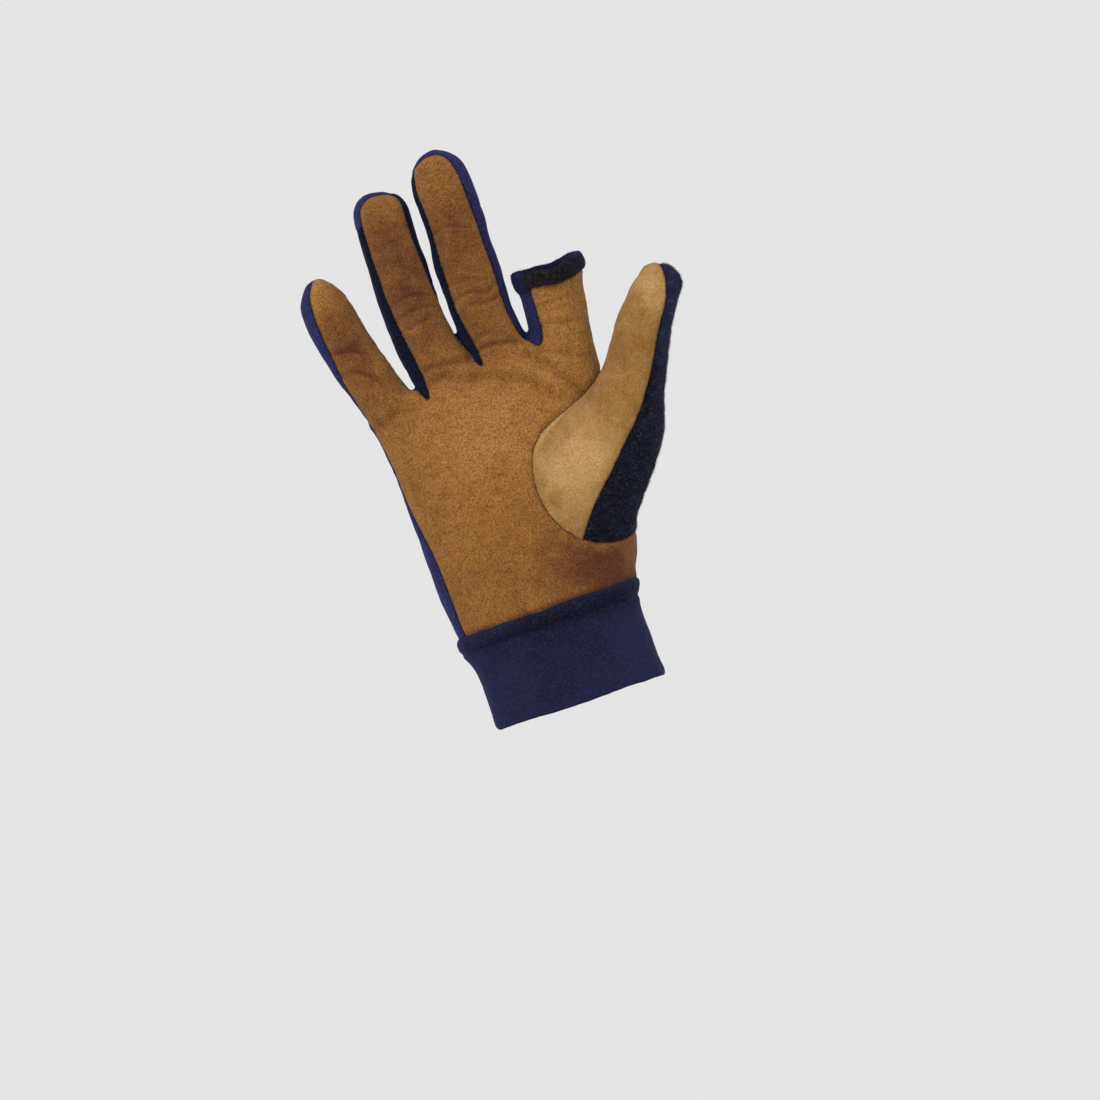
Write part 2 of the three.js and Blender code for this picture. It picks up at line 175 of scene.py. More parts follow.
def loft(name: str, rings: Array, capped: bool = True) -> Piece:
    """Extrudes a circle through a row of rings.

    Args:
        name: The object's name.
        rings: Points of shape (rows, points, 3), in millimetres.
        capped: Whether the ends are closed. Otherwise the last ring is bridged to the first.

    Returns:
        The closed mesh object. Each vertex keeps its place in the rings as the attribute "order".
    """
    rows, sides, _ = rings.shape
    deselect_all()
    bpy.ops.mesh.primitive_circle_add(vertices=sides, radius=1, fill_type="NGON" if capped else "NOTHING")
    piece = bpy.context.object
    piece.name = name
    edit_all(piece)
    for _ in range(rows - 1):
        bpy.ops.mesh.extrude_region_move(TRANSFORM_OT_translate={"value": (0, 0, 1)})
    if not capped:
        bpy.ops.mesh.select_all(action="DESELECT")
        bpy.ops.object.mode_set(mode="OBJECT")
        for vertex in piece.data.vertices:
            vertex.select = round(vertex.co.z) in (0, rows - 1)
        for edge in piece.data.edges:
            ends = [round(piece.data.vertices[v].co.z) for v in edge.vertices]
            edge.select = ends[0] == ends[1] and ends[0] in (0, rows - 1)
        bpy.ops.object.mode_set(mode="EDIT")
        bpy.ops.mesh.bridge_edge_loops()
    bpy.ops.object.mode_set(mode="OBJECT")
    at = coordinates(piece) * MM
    row = np.rint(at[:, 2]).astype(int)
    turn = np.rint(np.arctan2(at[:, 1], at[:, 0]) / (2 * math.pi) * sides).astype(int) % sides
    place(piece, rings[row, turn])
    order = piece.data.attributes.new("order", "INT", "POINT")
    order.data.foreach_set("value", (row * sides + turn).astype(np.int32))
    edit_all(piece)
    bpy.ops.mesh.normals_make_consistent(inside=False)
    bpy.ops.object.mode_set(mode="OBJECT")
    return piece


def superellipse(count: int, power: float) -> Array:
    """A round-cornered unit ring of count points, from the front (y = -1) round by the right."""
    angle = np.linspace(0, 2 * math.pi, count, endpoint=False)
    ring = np.stack([np.sin(angle), -np.cos(angle)], axis=1)
    return np.sign(ring) * np.abs(ring) ** (2 / power)


def middle_depth(z: Array) -> Array:
    """How far forward (negative y) the middle of the glove's thickness is at a height."""
    return -BEND_DEPTH * (np.maximum(z - BEND_START, 0) / BEND_SPAN) ** 1.5


def polyline_distance(points: Array, line: Array, closed: bool = False) -> Array:
    """Distance of points in the plane from a polyline.

    Args:
        points: Points of shape (n, 2).
        line: The polyline's corners of shape (k, 2).
        closed: Whether its last corner joins its first.

    Returns:
        The distances. For a closed line they are positive inside it and negative outside.
    """
    ends = np.roll(line, -1, axis=0) if closed else line[1:]
    starts = line if closed else line[:-1]
    best = np.full(len(points), 1e9)
    inside = np.zeros(len(points), bool)
    for a, b in zip(starts, ends):
        along = b - a
        t = np.clip(((points - a) @ along) / max(along @ along, 1e-12), 0, 1)
        best = np.minimum(best, np.hypot(*(points - a - t[:, None] * along).T))
        if closed:
            crosses = (a[1] > points[:, 1]) != (b[1] > points[:, 1])
            rise = b[1] - a[1] if abs(b[1] - a[1]) > 1e-12 else 1e-12
            inside ^= crosses & (points[:, 0] < a[0] + (points[:, 1] - a[1]) * along[0] / rise)
    return np.where(inside, best, -best) if closed else best


# ---- the limbs of the hand


@dataclass
class Limb:
    """One round limb, given by its outline at a row of heights.

    Attributes:
        name: The limb's name.
        rows: Rows of height, left, right, front and rear reach, and slant (rise of the right side per millimetre).
        power: How square the limb's section is.
    """

    name: str
    rows: list[tuple[float, float, float, float, float, float]]
    power: float = 2.2

    def build(self) -> Piece:
        """Lofts the limb through level rings."""
        table = smooth_curve(np.array(self.rows), 5 * len(self.rows))
        unit = superellipse(72, self.power)
        rings = []
        for z, left, right, front, rear, slant in table:
            centre, half = (left + right) / 2, max((right - left) / 2, 0.4)
            x = centre + unit[:, 0] * half
            depth = np.where(unit[:, 1] < 0, front, rear)
            height = z + slant * x
            rings.append(np.stack([x, middle_depth(height) + unit[:, 1] * np.maximum(depth, 0.4), height], axis=1))
        return loft(self.name, np.array(rings))


@dataclass
class ThumbLimb:
    """The thumb, which runs up, outward and forward from the heel of its mound.

    Attributes:
        rows: Rows of middle x, z and y, half width and half depth.
        tip: Middle x, z and y of the thumb's very end.
    """

    rows: list[tuple[float, float, float, float, float]] = field(
        default_factory=lambda: [
            (24.5, 60.4, -3.6, 9.0, 8.0),
            (27.4, 66.0, -4.8, 17.2, 14.5),
            (29.4, 75.9, -6.6, 21.6, 17.6),
            (34.4, 88.3, -9.0, 24.2, 19.2),
            (44.0, 97.0, -11.4, 22.4, 18.0),
            (54.1, 105.6, -14.4, 18.3, 16.0),
            (60.9, 116.5, -17.4, 14.3, 13.9),
            (67.4, 126.6, -19.8, 12.4, 12.2),
            (74.2, 138.5, -22.2, 11.4, 11.1),
            (78.8, 144.1, -23.0, 10.4, 10.5),
            (82.7, 149.0, -23.6, 9.7, 9.9),
            (85.7, 152.3, -23.9, 9.0, 9.2),
        ]
    )
    tip: tuple[float, float, float] = (90.3, 158.9, -24.2)
    power: float = 2.1

    def line(self) -> Array:
        """The thumb's rows from heel to tip, with half width and half depth shrinking over the rounded end."""
        shaft = smooth_curve(np.array(self.rows), 52)
        end, tip = shaft[-1], np.array(self.tip)
        cap = []
        for step in np.linspace(0.12, 1, 9):
            gone = math.sin(step * math.pi / 2 * 0.97)
            left = (1 - gone**2.3) ** (1 / 2.3)
            cap.append([*(end[:3] + gone * (tip - end[:3])), end[3] * left, end[4] * left])
        return np.vstack([shaft, cap])

    def frames(self) -> tuple[Array, Array, Array, Array]:
        """The thumb's rows, and its middle points with the directions across and ahead at each."""
        rows = self.line()
        middle = rows[:, [0, 2, 1]]
        axis = np.gradient(middle, axis=0)
        axis /= np.linalg.norm(axis, axis=1)[:, None]
        across = np.cross(axis, [0, -1, 0])
        across /= np.linalg.norm(across, axis=1)[:, None]
        return rows, middle, across, np.cross(across, axis)

    def ahead_share(self, p: Array) -> Array:
        """How far in front of the thumb's middle each point is, as a share of the thumb's half depth there."""
        rows, middle, across, ahead = self.frames()
        rows, middle, ahead = (smooth_curve(a[::3], 90) for a in (rows[:54], middle[:54], ahead[:54]))
        nearest = ((p[:, None, :] - middle[None]) ** 2).sum(2)
        weight = np.exp(-(nearest - nearest.min(1)[:, None]) / 9)
        weight /= weight.sum(1)[:, None]
        gap = p - weight @ middle
        direction = weight @ ahead
        return (gap * direction).sum(1) / (weight @ rows[:, 4])

    def build(self) -> Piece:
        """Lofts the thumb through rings that stand square to its middle line."""
        unit = superellipse(80, self.power)
        rows, middle, across, ahead = self.frames()
        rings = [
            m + unit[:, :1] * w * a - unit[:, 1:] * d * f
            for m, w, d, a, f in zip(middle, rows[:, 3], rows[:, 4], across, ahead)
        ]
        return loft("thumb", np.array(rings))


HAND = Limb(
    "hand",
    [
        (36, -37.6, 37.6, 23.4, 23.2, 0), (44, -38.9, 38.9, 24, 23.4, 0), (52, -39.9, 42.4, 23, 22, 0),
        (61, -40.6, 45.2, 21.9, 20.8, 0), (75, -41, 46.4, 20, 20, 0), (90, -41.5, 47.4, 18.6, 19.3, 0),
        (106, -42, 49, 17.4, 18.3, 0), (120, -43, 51, 16.8, 17.4, 0), (130, -43.8, 52, 15.8, 16.4, 0.02),
        (137, -45, 52, 14.4, 14.6, 0.05), (142, -44.6, 51, 12.4, 12.4, 0.08), (145.5, -41, 49, 9.5, 9.5, 0.10),
    ],  # fmt: skip
    2.5,
)
LITTLE = Limb(
    "little",
    [
        (118, -39, -15.5, 10.5, 10.5, 0), (135, -44.4, -21.8, 10.5, 10.5, 0), (145, -47.7, -25.6, 10.4, 10.4, 0),
        (151, -49.8, -27.6, 10.4, 10.4, 0), (160, -53, -30.4, 10.1, 10.3, 0), (172, -56, -34.1, 9.9, 10, 0),
        (182, -57.4, -35.9, 9.7, 9.8, 0), (189, -57.3, -37.9, 9.5, 9.1, 0), (194, -55, -40.6, 8.2, 7.8, 0),
        (197.4, -51.8, -43.4, 5.6, 5.4, 0), (199.2, -48.6, -46.4, 1.6, 1.6, 0),
    ],  # fmt: skip
)
RING = Limb(
    "ring",
    [
        (118, -20.5, 6.5, 11.5, 11, 0), (140, -21.6, 5.2, 11.4, 11, 0), (147, -23.1, 3.6, 11.4, 11, 0),
        (153, -24.4, 2, 11.3, 11.2, 0), (161, -25.3, -0.8, 11.1, 11.3, 0), (172, -26, -1.9, 10.8, 11.4, 0),
        (185, -26.3, -2.1, 10.8, 10.8, 0), (200, -26.1, -2, 10.5, 10.4, 0), (211, -25.5, -1.9, 10.4, 10, 0),
        (215.8, -24.6, -2.4, 9.6, 9.2, -0.09), (218.6, -22.8, -3.6, 7.4, 7, -0.145),
        (220.2, -19.6, -5.6, 4.4, 4.2, -0.21),
        (221.4, -15.6, -9.6, 1.4, 1.4, -0.24),
    ],  # fmt: skip
)
MIDDLE = Limb(
    "middle",
    [
        (118, 3, 28.2, 11.8, 11.4, 0), (140, 2.3, 27.8, 11.8, 11.4, 0), (152, 1.4, 27, 11.7, 11.6, 0),
        (162, 1.1, 26.2, 11.4, 11.8, 0), (172, 0.6, 26, 11.2, 11.8, 0), (186, 0.2, 26.2, 11.3, 11.2, 0),
        (200, 1.3, 26.5, 10.9, 10.9, 0), (212, 2, 26.8, 10.8, 10.4, 0), (221, 2.3, 26.6, 10.4, 9.9, 0),
        (227.4, 4.2, 24.9, 8.6, 8.2, 0), (231.4, 7.6, 21.4, 6, 5.6, 0), (233.6, 11.4, 17.6, 3.2, 3, 0),
        (234.4, 13.6, 15.4, 1, 1, 0),
    ],  # fmt: skip
)
INDEX = Limb(
    "index",
    [
        (118, 22.6, 49, 11.9, 11.4, 0), (140, 27, 52.6, 11.9, 11.4, 0), (150, 28.5, 54, 11.8, 11.6, 0),
        (158, 29.1, 55.2, 11.7, 11.6, 0), (164, 29.3, 56.4, 11.6, 11.6, 0), (169, 28.9, 57.4, 11.6, 11.6, 0),
        (178, 28.9, 58.4, 11.6, 11.6, 0),
    ],  # fmt: skip
)


# ---- seams, as lines in the front view


PALM_EDGE: Outline = [
    (-35.6, 36), (-35.9, 44), (-36.5, 54), (-36.7, 62), (-37.4, 75), (-39.2, 88), (-41.2, 100), (-42.2, 112),
    (-43.4, 126), (-45.4, 138), (-47.6, 146), (-49.3, 152), (-50.6, 161), (-51.8, 171), (-52.8, 181), (-52.9, 188),
    (-51.8, 194), (-49.6, 197.6), (-46.5, 203), (-40, 203), (-34, 190), (-30.2, 172), (-27.2, 160), (-25.6, 153),
    (-24.2, 147.5), (-22.2, 142.6), (-20, 138), (-18.6, 137.7), (-18.1, 141), (-18.7, 147), (-19.6, 155), (-21, 165),
    (-22, 175), (-22.8, 188), (-23.2, 200), (-23.2, 210), (-22.6, 216), (-21, 220.6), (-16.8, 223.6), (-11.4, 223.5),
    (-7.4, 222.1), (-4.9, 219.6), (-4.1, 215.4), (-4, 200), (-3, 186), (-1.9, 172), (-0.3, 161), (1.9, 152.5),
    (4, 146.6), (5.6, 143.5), (6.6, 143.9), (6.6, 148), (5.1, 155), (3.8, 162), (2.8, 170), (2.9, 181), (3.2, 195),
    (3.6, 205), (3.4, 213), (3, 220), (4.4, 227.2), (6.8, 230.3), (10.9, 232.3), (16, 232.3), (19.6, 229.8),
    (21.7, 224.9), (22.4, 218.5), (22.6, 208), (22.9, 196), (23.1, 182), (23.2, 168), (23.9, 159), (25.4, 152),
    (28, 147), (30.6, 144.2), (32.4, 144.6), (33.8, 149), (34.2, 158), (34.3, 166), (34.6, 174), (38, 182),
    (70, 182), (72, 140), (72, 60), (60, 36),
]  # fmt: skip
FORK_LINES: list[Outline] = [
    [(-28, 120), (-33, 135), (-39, 153), (-43.8, 170), (-47, 190), (-40, 197), (-25, 212), (-14, 219), (-14, 200),
     (-13.5, 172), (-11.8, 150), (-9, 120)],
    [(-9, 120), (-11.8, 150), (-13.5, 172), (-14, 200), (-14, 219), (-4, 224), (8, 228), (14.4, 227), (13.8, 200),
     (13, 172), (13.8, 150), (15.4, 120)],
    [(15.4, 120), (13.8, 150), (13, 172), (13.8, 200), (14.4, 227), (24, 212), (34, 190), (42.8, 184), (42.5, 160),
     (40.5, 140), (37, 120)],
]  # fmt: skip
THUMB_BASE_FRONT: Outline = [
    (52.5, 128.5), (49, 123.6), (42, 119.4), (34, 116), (26, 113), (19.8, 109.6), (15.4, 105), (12.6, 98.5),
    (11.3, 91), (11.4, 84), (13, 76.5), (16.2, 70), (21, 64.4), (26.5, 60.6), (33, 58.3), (39, 57.6), (46.5, 59.6),
]  # fmt: skip
THUMB_BASE_REAR: Outline = [
    (55.5, 132.5), (53, 128), (50, 123), (47, 118), (44, 113), (41, 107.5), (38.4, 101), (36.4, 94), (35, 87),
    (34.6, 81), (34.8, 76), (35.4, 71.5), (36.4, 67.6), (38, 64.4), (40, 62), (42.6, 60.4), (46.5, 59.6),
]  # fmt: skip
THUMB_SIDE_SEAM: Outline = [
    (22.8, 63.2), (30, 73), (37.2, 80.4), (45, 88), (50, 93.4), (55, 98.4), (60, 103.8), (65, 110), (70, 117.4),
    (75, 126.2), (80, 135.6), (84, 142), (86.6, 147), (88.2, 152), (88.6, 157), (88, 164),
]  # fmt: skip


@dataclass(frozen=True)
class Spot:
    """A soft round place in the front view, such as a lighter or darker one on the suede.

    Attributes:
        x: Its middle across.
        z: Its middle up.
        wide: Its reach across.
        high: Its reach up.
        gain: Its share at the middle.
    """

    x: float
    z: float
    wide: float
    high: float
    gain: float

    def at(self, points: Array) -> Array:
        """The spot's share at each point."""
        across, up = (points[:, 0] - self.x) / self.wide, (points[:, 2] - self.z) / self.high
        return self.gain * np.exp(-(across**2 + up**2))


@dataclass
class Seams:
    """The seams of the hand, each as a field that is zero on the seam, in millimetres.

    Attributes:
        rear: How far behind the middle the fourchettes reach.
        lap: How far behind its middle the thumb's suede reaches, as a share of the thumb's half depth.
        palm_web: Where the palm's suede reaches to the rear at the thumb's web.
        thumb_web: Where the thumb's suede reaches to the rear at the web, as a share.
        turn_start: The depth at which the thumb's base seam starts to swing from its front to its rear line.
        turn_span: The depth over which it swings.
        upper_end: Height of the base seam's upper end.
        lower_end: Height of its lower end.
    """

    rear: float = 5.0
    lap: float = 0.34
    palm_web: Spot = Spot(52, 125, 8, 13, 11)
    thumb_web: Spot = Spot(50.5, 124, 9, 13, 1.2)
    turn_start: float = -14
    turn_span: float = 22
    upper_end: float = 128.8
    lower_end: float = 59.6

    def palm(self, p: Array) -> Array:
        """Positive on the palm panel: in front of the middle and inside the palm's edge."""
        edge = smooth_curve(np.array(PALM_EDGE + PALM_EDGE[:1]), 420)[:-1]
        inside = polyline_distance(p[:, [0, 2]], edge, closed=True)
        return np.minimum(middle_depth(p[:, 2]) + self.palm_web.at(p) - p[:, 1], inside)

    def fork(self, p: Array, which: int) -> Array:
        """Positive on a fourchette and on what the palm covers in front of it."""
        inside = polyline_distance(p[:, [0, 2]], np.array(FORK_LINES[which]), closed=True)
        return np.minimum(middle_depth(p[:, 2]) + self.rear - p[:, 1], inside)

    def thumb(self, p: Array) -> Array:
        """Positive on the thumb: to the right of its base seam, which swings to the rear with depth."""
        front, rear = np.array(THUMB_BASE_FRONT), np.array(THUMB_BASE_REAR)
        t = np.clip((p[:, 1] - self.turn_start) / self.turn_span, 0, 1)
        t = t * t * (3 - 2 * t)
        best = np.full(len(p), 1e9)
        sign = np.ones(len(p))
        xz = p[:, [0, 2]]
        for k in range(len(front) - 1):
            a = front[k] + t[:, None] * (rear[k] - front[k])
            b = front[k + 1] + t[:, None] * (rear[k + 1] - front[k + 1])
            along = b - a
            s = np.clip(((xz - a) * along).sum(1) / (along**2).sum(1), 0, 1)
            gap = xz - a - s[:, None] * along
            distance = np.hypot(*gap.T)
            side = along[:, 0] * gap[:, 1] - along[:, 1] * gap[:, 0]
            nearer = distance < best
            best = np.where(nearer, distance, best)
            sign = np.where(nearer, np.sign(side), sign)
        # past the seam's ends its side is read from the height: thumb above the web, palm below the mound
        above = (p[:, 2] > self.upper_end) & (p[:, 0] > 57 + (p[:, 2] - self.upper_end) * 0.2)
        below = (p[:, 2] < self.lower_end) & (p[:, 0] < THUMB_BASE_FRONT[-1][0])
        sign = np.where(above, 1, np.where(below & (best > 2), -1, sign))
        return sign * best

    def thumb_front(self, p: Array) -> Array:
        """Positive on the thumb's suede panel: above the side seam in front, and round the top to the rear."""
        line = smooth_curve(np.array(THUMB_SIDE_SEAM), 120)
        xz = p[:, [0, 2]]
        distance = polyline_distance(xz, line)
        a, b = line[:-1], line[1:]
        centre = (a + b) / 2
        nearest = np.argmin(((xz[:, None, :] - centre[None, ::6]) ** 2).sum(2), axis=1) * 6
        along = (b - a)[nearest]
        gap = xz - centre[nearest]
        side = np.sign(along[:, 0] * gap[:, 1] - along[:, 1] * gap[:, 0])
        behind = np.zeros(len(p))
        near = self.near_thumb(p)
        behind[near] = (ThumbLimb().ahead_share(p[near]) + self.lap + self.thumb_web.at(p[near])) * 12
        return np.minimum(side * distance, behind)

    def near_thumb(self, p: Array) -> Array:
        """Which points are close enough to the thumb for its seams to matter."""
        return (p[:, 0] > 8) & (p[:, 2] > 52) & (p[:, 2] < 168)


# ---- the skin, as plain arrays


def edges_of(faces: Array) -> Array:
    """The three edges of each triangle, as sorted pairs: all the first ones, then the second and the third."""
    return np.sort(np.vstack([faces[:, [0, 1]], faces[:, [1, 2]], faces[:, [2, 0]]]), axis=1)


def face_normals(points: Array, faces: Array) -> Array:
    """Each triangle's normal, twice as long as its area."""
    a, b, c = (points[faces[:, i]] for i in range(3))
    return np.cross(b - a, c - a)


def rim_of(faces: Array) -> tuple[Array, Array]:
    """All edges once, and which of them only one triangle uses."""
    edges, count = np.unique(edges_of(faces), axis=0, return_counts=True)
    return edges, count == 1


@dataclass
class Skin:
    """The hand's whole outer surface, cut into labelled triangles.

    Attributes:
        points: Vertices in millimetres.
        faces: Triangles.
        labels: Each triangle's panel, by its label.
        snap: How near a vertex is to a seam, as a share of the edge, to be moved onto it.
    """

    points: Array
    faces: Array
    labels: Array
    snap: float = 0.28

    @classmethod
    def of(cls, piece: Piece) -> "Skin":
        """Reads an object's mesh, with its quads split in two."""
        edit_all(piece)
        bpy.ops.mesh.quads_convert_to_tris(quad_method="SHORTEST_DIAGONAL", ngon_method="BEAUTY")
        bpy.ops.object.mode_set(mode="OBJECT")
        faces = np.empty(len(piece.data.polygons) * 3, np.int32)
        piece.data.polygons.foreach_get("vertices", faces)
        faces = faces.reshape(-1, 3)
        return cls(coordinates(piece), faces, np.zeros(len(faces), int))

    def cut(self, seam: Array, chosen: Array | None = None) -> Array:
        """Parts the triangles along a seam, where its field is zero, and moves the nearest vertices onto it.

        Args:
            seam: The seam's field at each vertex.
            chosen: Which triangles the seam may part. Otherwise it parts all of them.

        Returns:
            For each triangle of the new order, whether it was chosen and lies on the field's positive side.
        """
        chosen = np.ones(len(self.faces), bool) if chosen is None else chosen
        g = seam.copy()
        a, b = np.unique(edges_of(self.faces[chosen]), axis=0).T
        crossing = g[a] * g[b] < 0
        a, b = a[crossing], b[crossing]
        t = g[a] / (g[a] - g[b])
        fixed = np.zeros(len(g), bool)
        fixed[self.faces[~chosen]] = True
        order = np.argsort(np.minimum(t, 1 - t))[::-1]
        target = self.points.copy()
        moved = np.zeros(len(g), bool)
        for near, far, share in ((a, b, t), (b, a, 1 - t)):
            pick = order[(share[order] < self.snap) & ~fixed[near[order]]]
            spot = self.points[near[pick]] + share[pick, None] * (self.points[far[pick]] - self.points[near[pick]])
            target[near[pick]] = spot
            moved[near[pick]] = True
        self.points = target
        g[moved | (np.abs(g) < 1e-6)] = 0
        first = np.count_nonzero(~chosen)
        order = np.concatenate([np.nonzero(~chosen)[0], np.nonzero(chosen)[0]])
        self.keep(order)
        return (np.arange(len(order)) >= first) & (g[self.faces].sum(1) > 0)

    def normals(self) -> Array:
        """Outward vertex normals, weighted by area."""
        flat = face_normals(self.points, self.faces)
        out = np.zeros_like(self.points)
        for i in range(3):
            np.add.at(out, self.faces[:, i], flat)
        return out / np.maximum(np.linalg.norm(out, axis=1), 1e-12)[:, None]

    def keep(self, wanted: Array) -> None:
        """Keeps the wanted triangles, given as a mask or in order, and drops the others."""
        self.faces, self.labels = self.faces[wanted], self.labels[wanted]

    def merge_islands(self, smallest: int) -> None:
        """Gives each stray patch that the seams cut off to the panel around it.

        Args:
            smallest: The least number of triangles that a patch may have and still stay.
        """
        _, a, b = self.shared_edges()
        same = self.labels[a] == self.labels[b]
        root = list(range(len(self.faces)))

        def find(k: int) -> int:
            """The first triangle of the patch that a triangle is in."""
            while root[k] != k:
                root[k] = root[root[k]]
                k = root[k]
            return k

        for p, q in zip(a[same].tolist(), b[same].tolist()):
            p, q = find(p), find(q)
            if p != q:
                root[max(p, q)] = min(p, q)
        patch = np.array([find(k) for k in range(len(self.faces))])
        count = np.bincount(patch, minlength=len(self.faces))
        small = count[patch] < smallest
        around = {}
        for p, q in ((a, b), (b, a)):
            edge = small[p] & ~small[q]
            for name, label in zip(patch[p[edge]].tolist(), self.labels[q[edge]].tolist()):
                around.setdefault(name, []).append(label)
        for name, labels in around.items():
            self.labels[patch == name] = max(set(labels), key=labels.count)
            LOG.info("a stray patch of %d triangles joins its neighbour", count[name])

    def shared_edges(self) -> tuple[Array, Array, Array]:
        """The edges that two triangles share, and the triangles on either side of each."""
        pairs = edges_of(self.faces)
        owner = np.tile(np.arange(len(self.faces)), 3)
        order = np.lexsort((pairs[:, 1], pairs[:, 0]))
        pairs, owner = pairs[order], owner[order]
        shared = (pairs[1:] == pairs[:-1]).all(1)
        return pairs[1:][shared], owner[:-1][shared], owner[1:][shared]

    def seam_edges(self) -> tuple[Array, Array]:
        """The edges between two panels, and the labels of the two panels of each."""
        pairs, *sides = self.shared_edges()
        owners = np.stack([self.labels[side] for side in sides], axis=1)
        seam = owners[:, 0] != owners[:, 1]
        return pairs[seam], owners[seam]

    def relax(self, rounds: int, share: Array) -> None:
        """Evens the surface out, and keeps seams and open edges as smooth lines.

        Args:
            rounds: How often every vertex moves towards its neighbours' middle.
            share: How far each vertex moves, from 0 to 1.
        """
        edges, rim = rim_of(self.faces)
        lines = np.vstack([self.seam_edges()[0], edges[rim]])
        on_line = np.zeros(len(self.points), bool)
        on_line[lines] = True
        free = edges[~(on_line[edges[:, 0]] & on_line[edges[:, 1]])]
        count = np.bincount(lines.ravel(), minlength=len(self.points))
        still = on_line & (count != 2)
        for _ in range(rounds):
            for pairs, moving in ((lines, on_line & ~still), (free, ~on_line)):
                total = np.zeros_like(self.points)
                number = np.zeros(len(self.points))
                for a, b in ((0, 1), (1, 0)):
                    for axis in range(3):
                        total[:, axis] += np.bincount(pairs[:, a], self.points[pairs[:, b], axis], len(self.points))
                    number += np.bincount(pairs[:, a], minlength=len(self.points))
                step = (total / np.maximum(number, 1)[:, None] - self.points) * share[:, None]
                go = moving & (number > 0)
                self.points[go] += step[go]

    def chains(self, pairs: Array) -> list[Array]:
        """Puts edges in order, as runs of vertices that end where seams meet."""
        near: dict[int, list[int]] = {}
        for a, b in pairs.tolist():
            near.setdefault(a, []).append(b)
            near.setdefault(b, []).append(a)
        left = {tuple(sorted(pair)) for pair in pairs.tolist()}
        runs = []
        starts = sorted(v for v in near if len(near[v]) != 2) + sorted(near)
        for start in starts:
            for step in near[start]:
                if (min(start, step), max(start, step)) not in left:
                    continue
                run = [start]
                here, there = start, step
                while (min(here, there), max(here, there)) in left:
                    left.discard((min(here, there), max(here, there)))
                    run.append(there)
                    onward = [v for v in near[there] if v != here]
                    if len(near[there]) != 2 or not onward:
                        break
                    here, there = there, onward[0]
                runs.append(np.array(run))
        return runs

    def panel(self, panel: Panel) -> tuple[Array, Array, Array]:
        """One panel's own vertices, triangles, and the vertices' places in the skin."""
        faces = self.faces[self.labels == panel.label]
        used, new = np.unique(faces, return_inverse=True)
        return self.points[used], new.reshape(faces.shape), used


def hump(distance: Array, width: float) -> Array:
    """A soft hump that is 1 where the distance is zero."""
    return np.exp(-((distance / width) ** 2))


def nearest_distance(points: Array, targets: Array) -> Array:
    """The distance from each point to the nearest target."""
    tree = kdtree.KDTree(len(targets))
    for i, target in enumerate(targets):
        tree.insert(target, i)
    tree.balance()
    return np.array([tree.find(p)[2] for p in points])


def soft_noise(
    points: Array, size: float, seed: float, stretch: tuple[float, float, float] = (1, 1, 1)
) -> Array:
    """Smooth noise of a given size in millimetres, between about -1 and 1."""
    scaled = points * np.array(stretch) / size + seed
    return np.array([noise.noise(Vector(p)) for p in scaled]) * 1.6


# ---- folds


@dataclass(frozen=True)
class Fold:
    """A crease across the front of the glove, pressed into the skin and darkened with painted shade in its valley.

    Attributes:
        line: Its line in the front view.
        depth: How deep it is.
        width: How wide it is.
    """

    line: tuple[tuple[float, float], ...]
    depth: float
    width: float

    def press(self, points: Array, facing: Array) -> Array:
        """How far the crease moves each point outward: a valley with a soft ridge on each side."""
        curve = smooth_curve(np.array(self.line), 30)
        distance = polyline_distance(points[:, [0, 2]], curve)
        start, end = curve[0], curve[-1]
        length = np.hypot(*(end - start))
        along = ((points[:, [0, 2]] - start) @ (end - start)) / length**2
        fade = np.clip(1.15 - np.abs(along - 0.5) * 1.5, 0, 1)
        valley = -self.depth * hump(distance, self.width)
        ridge = 0.45 * self.depth * hump(distance - 2.1 * self.width, 1.1 * self.width)
        return (valley + ridge) * fade * facing

    def shade(self, points: Array, facing: Array) -> Array:
        """How much painted shade darkens each point in the crease's valley."""
        curve = smooth_curve(np.array(self.line), 30)
        distance = polyline_distance(points[:, [0, 2]], curve)
        return self.depth * hump(distance, 0.8 * self.width) * facing


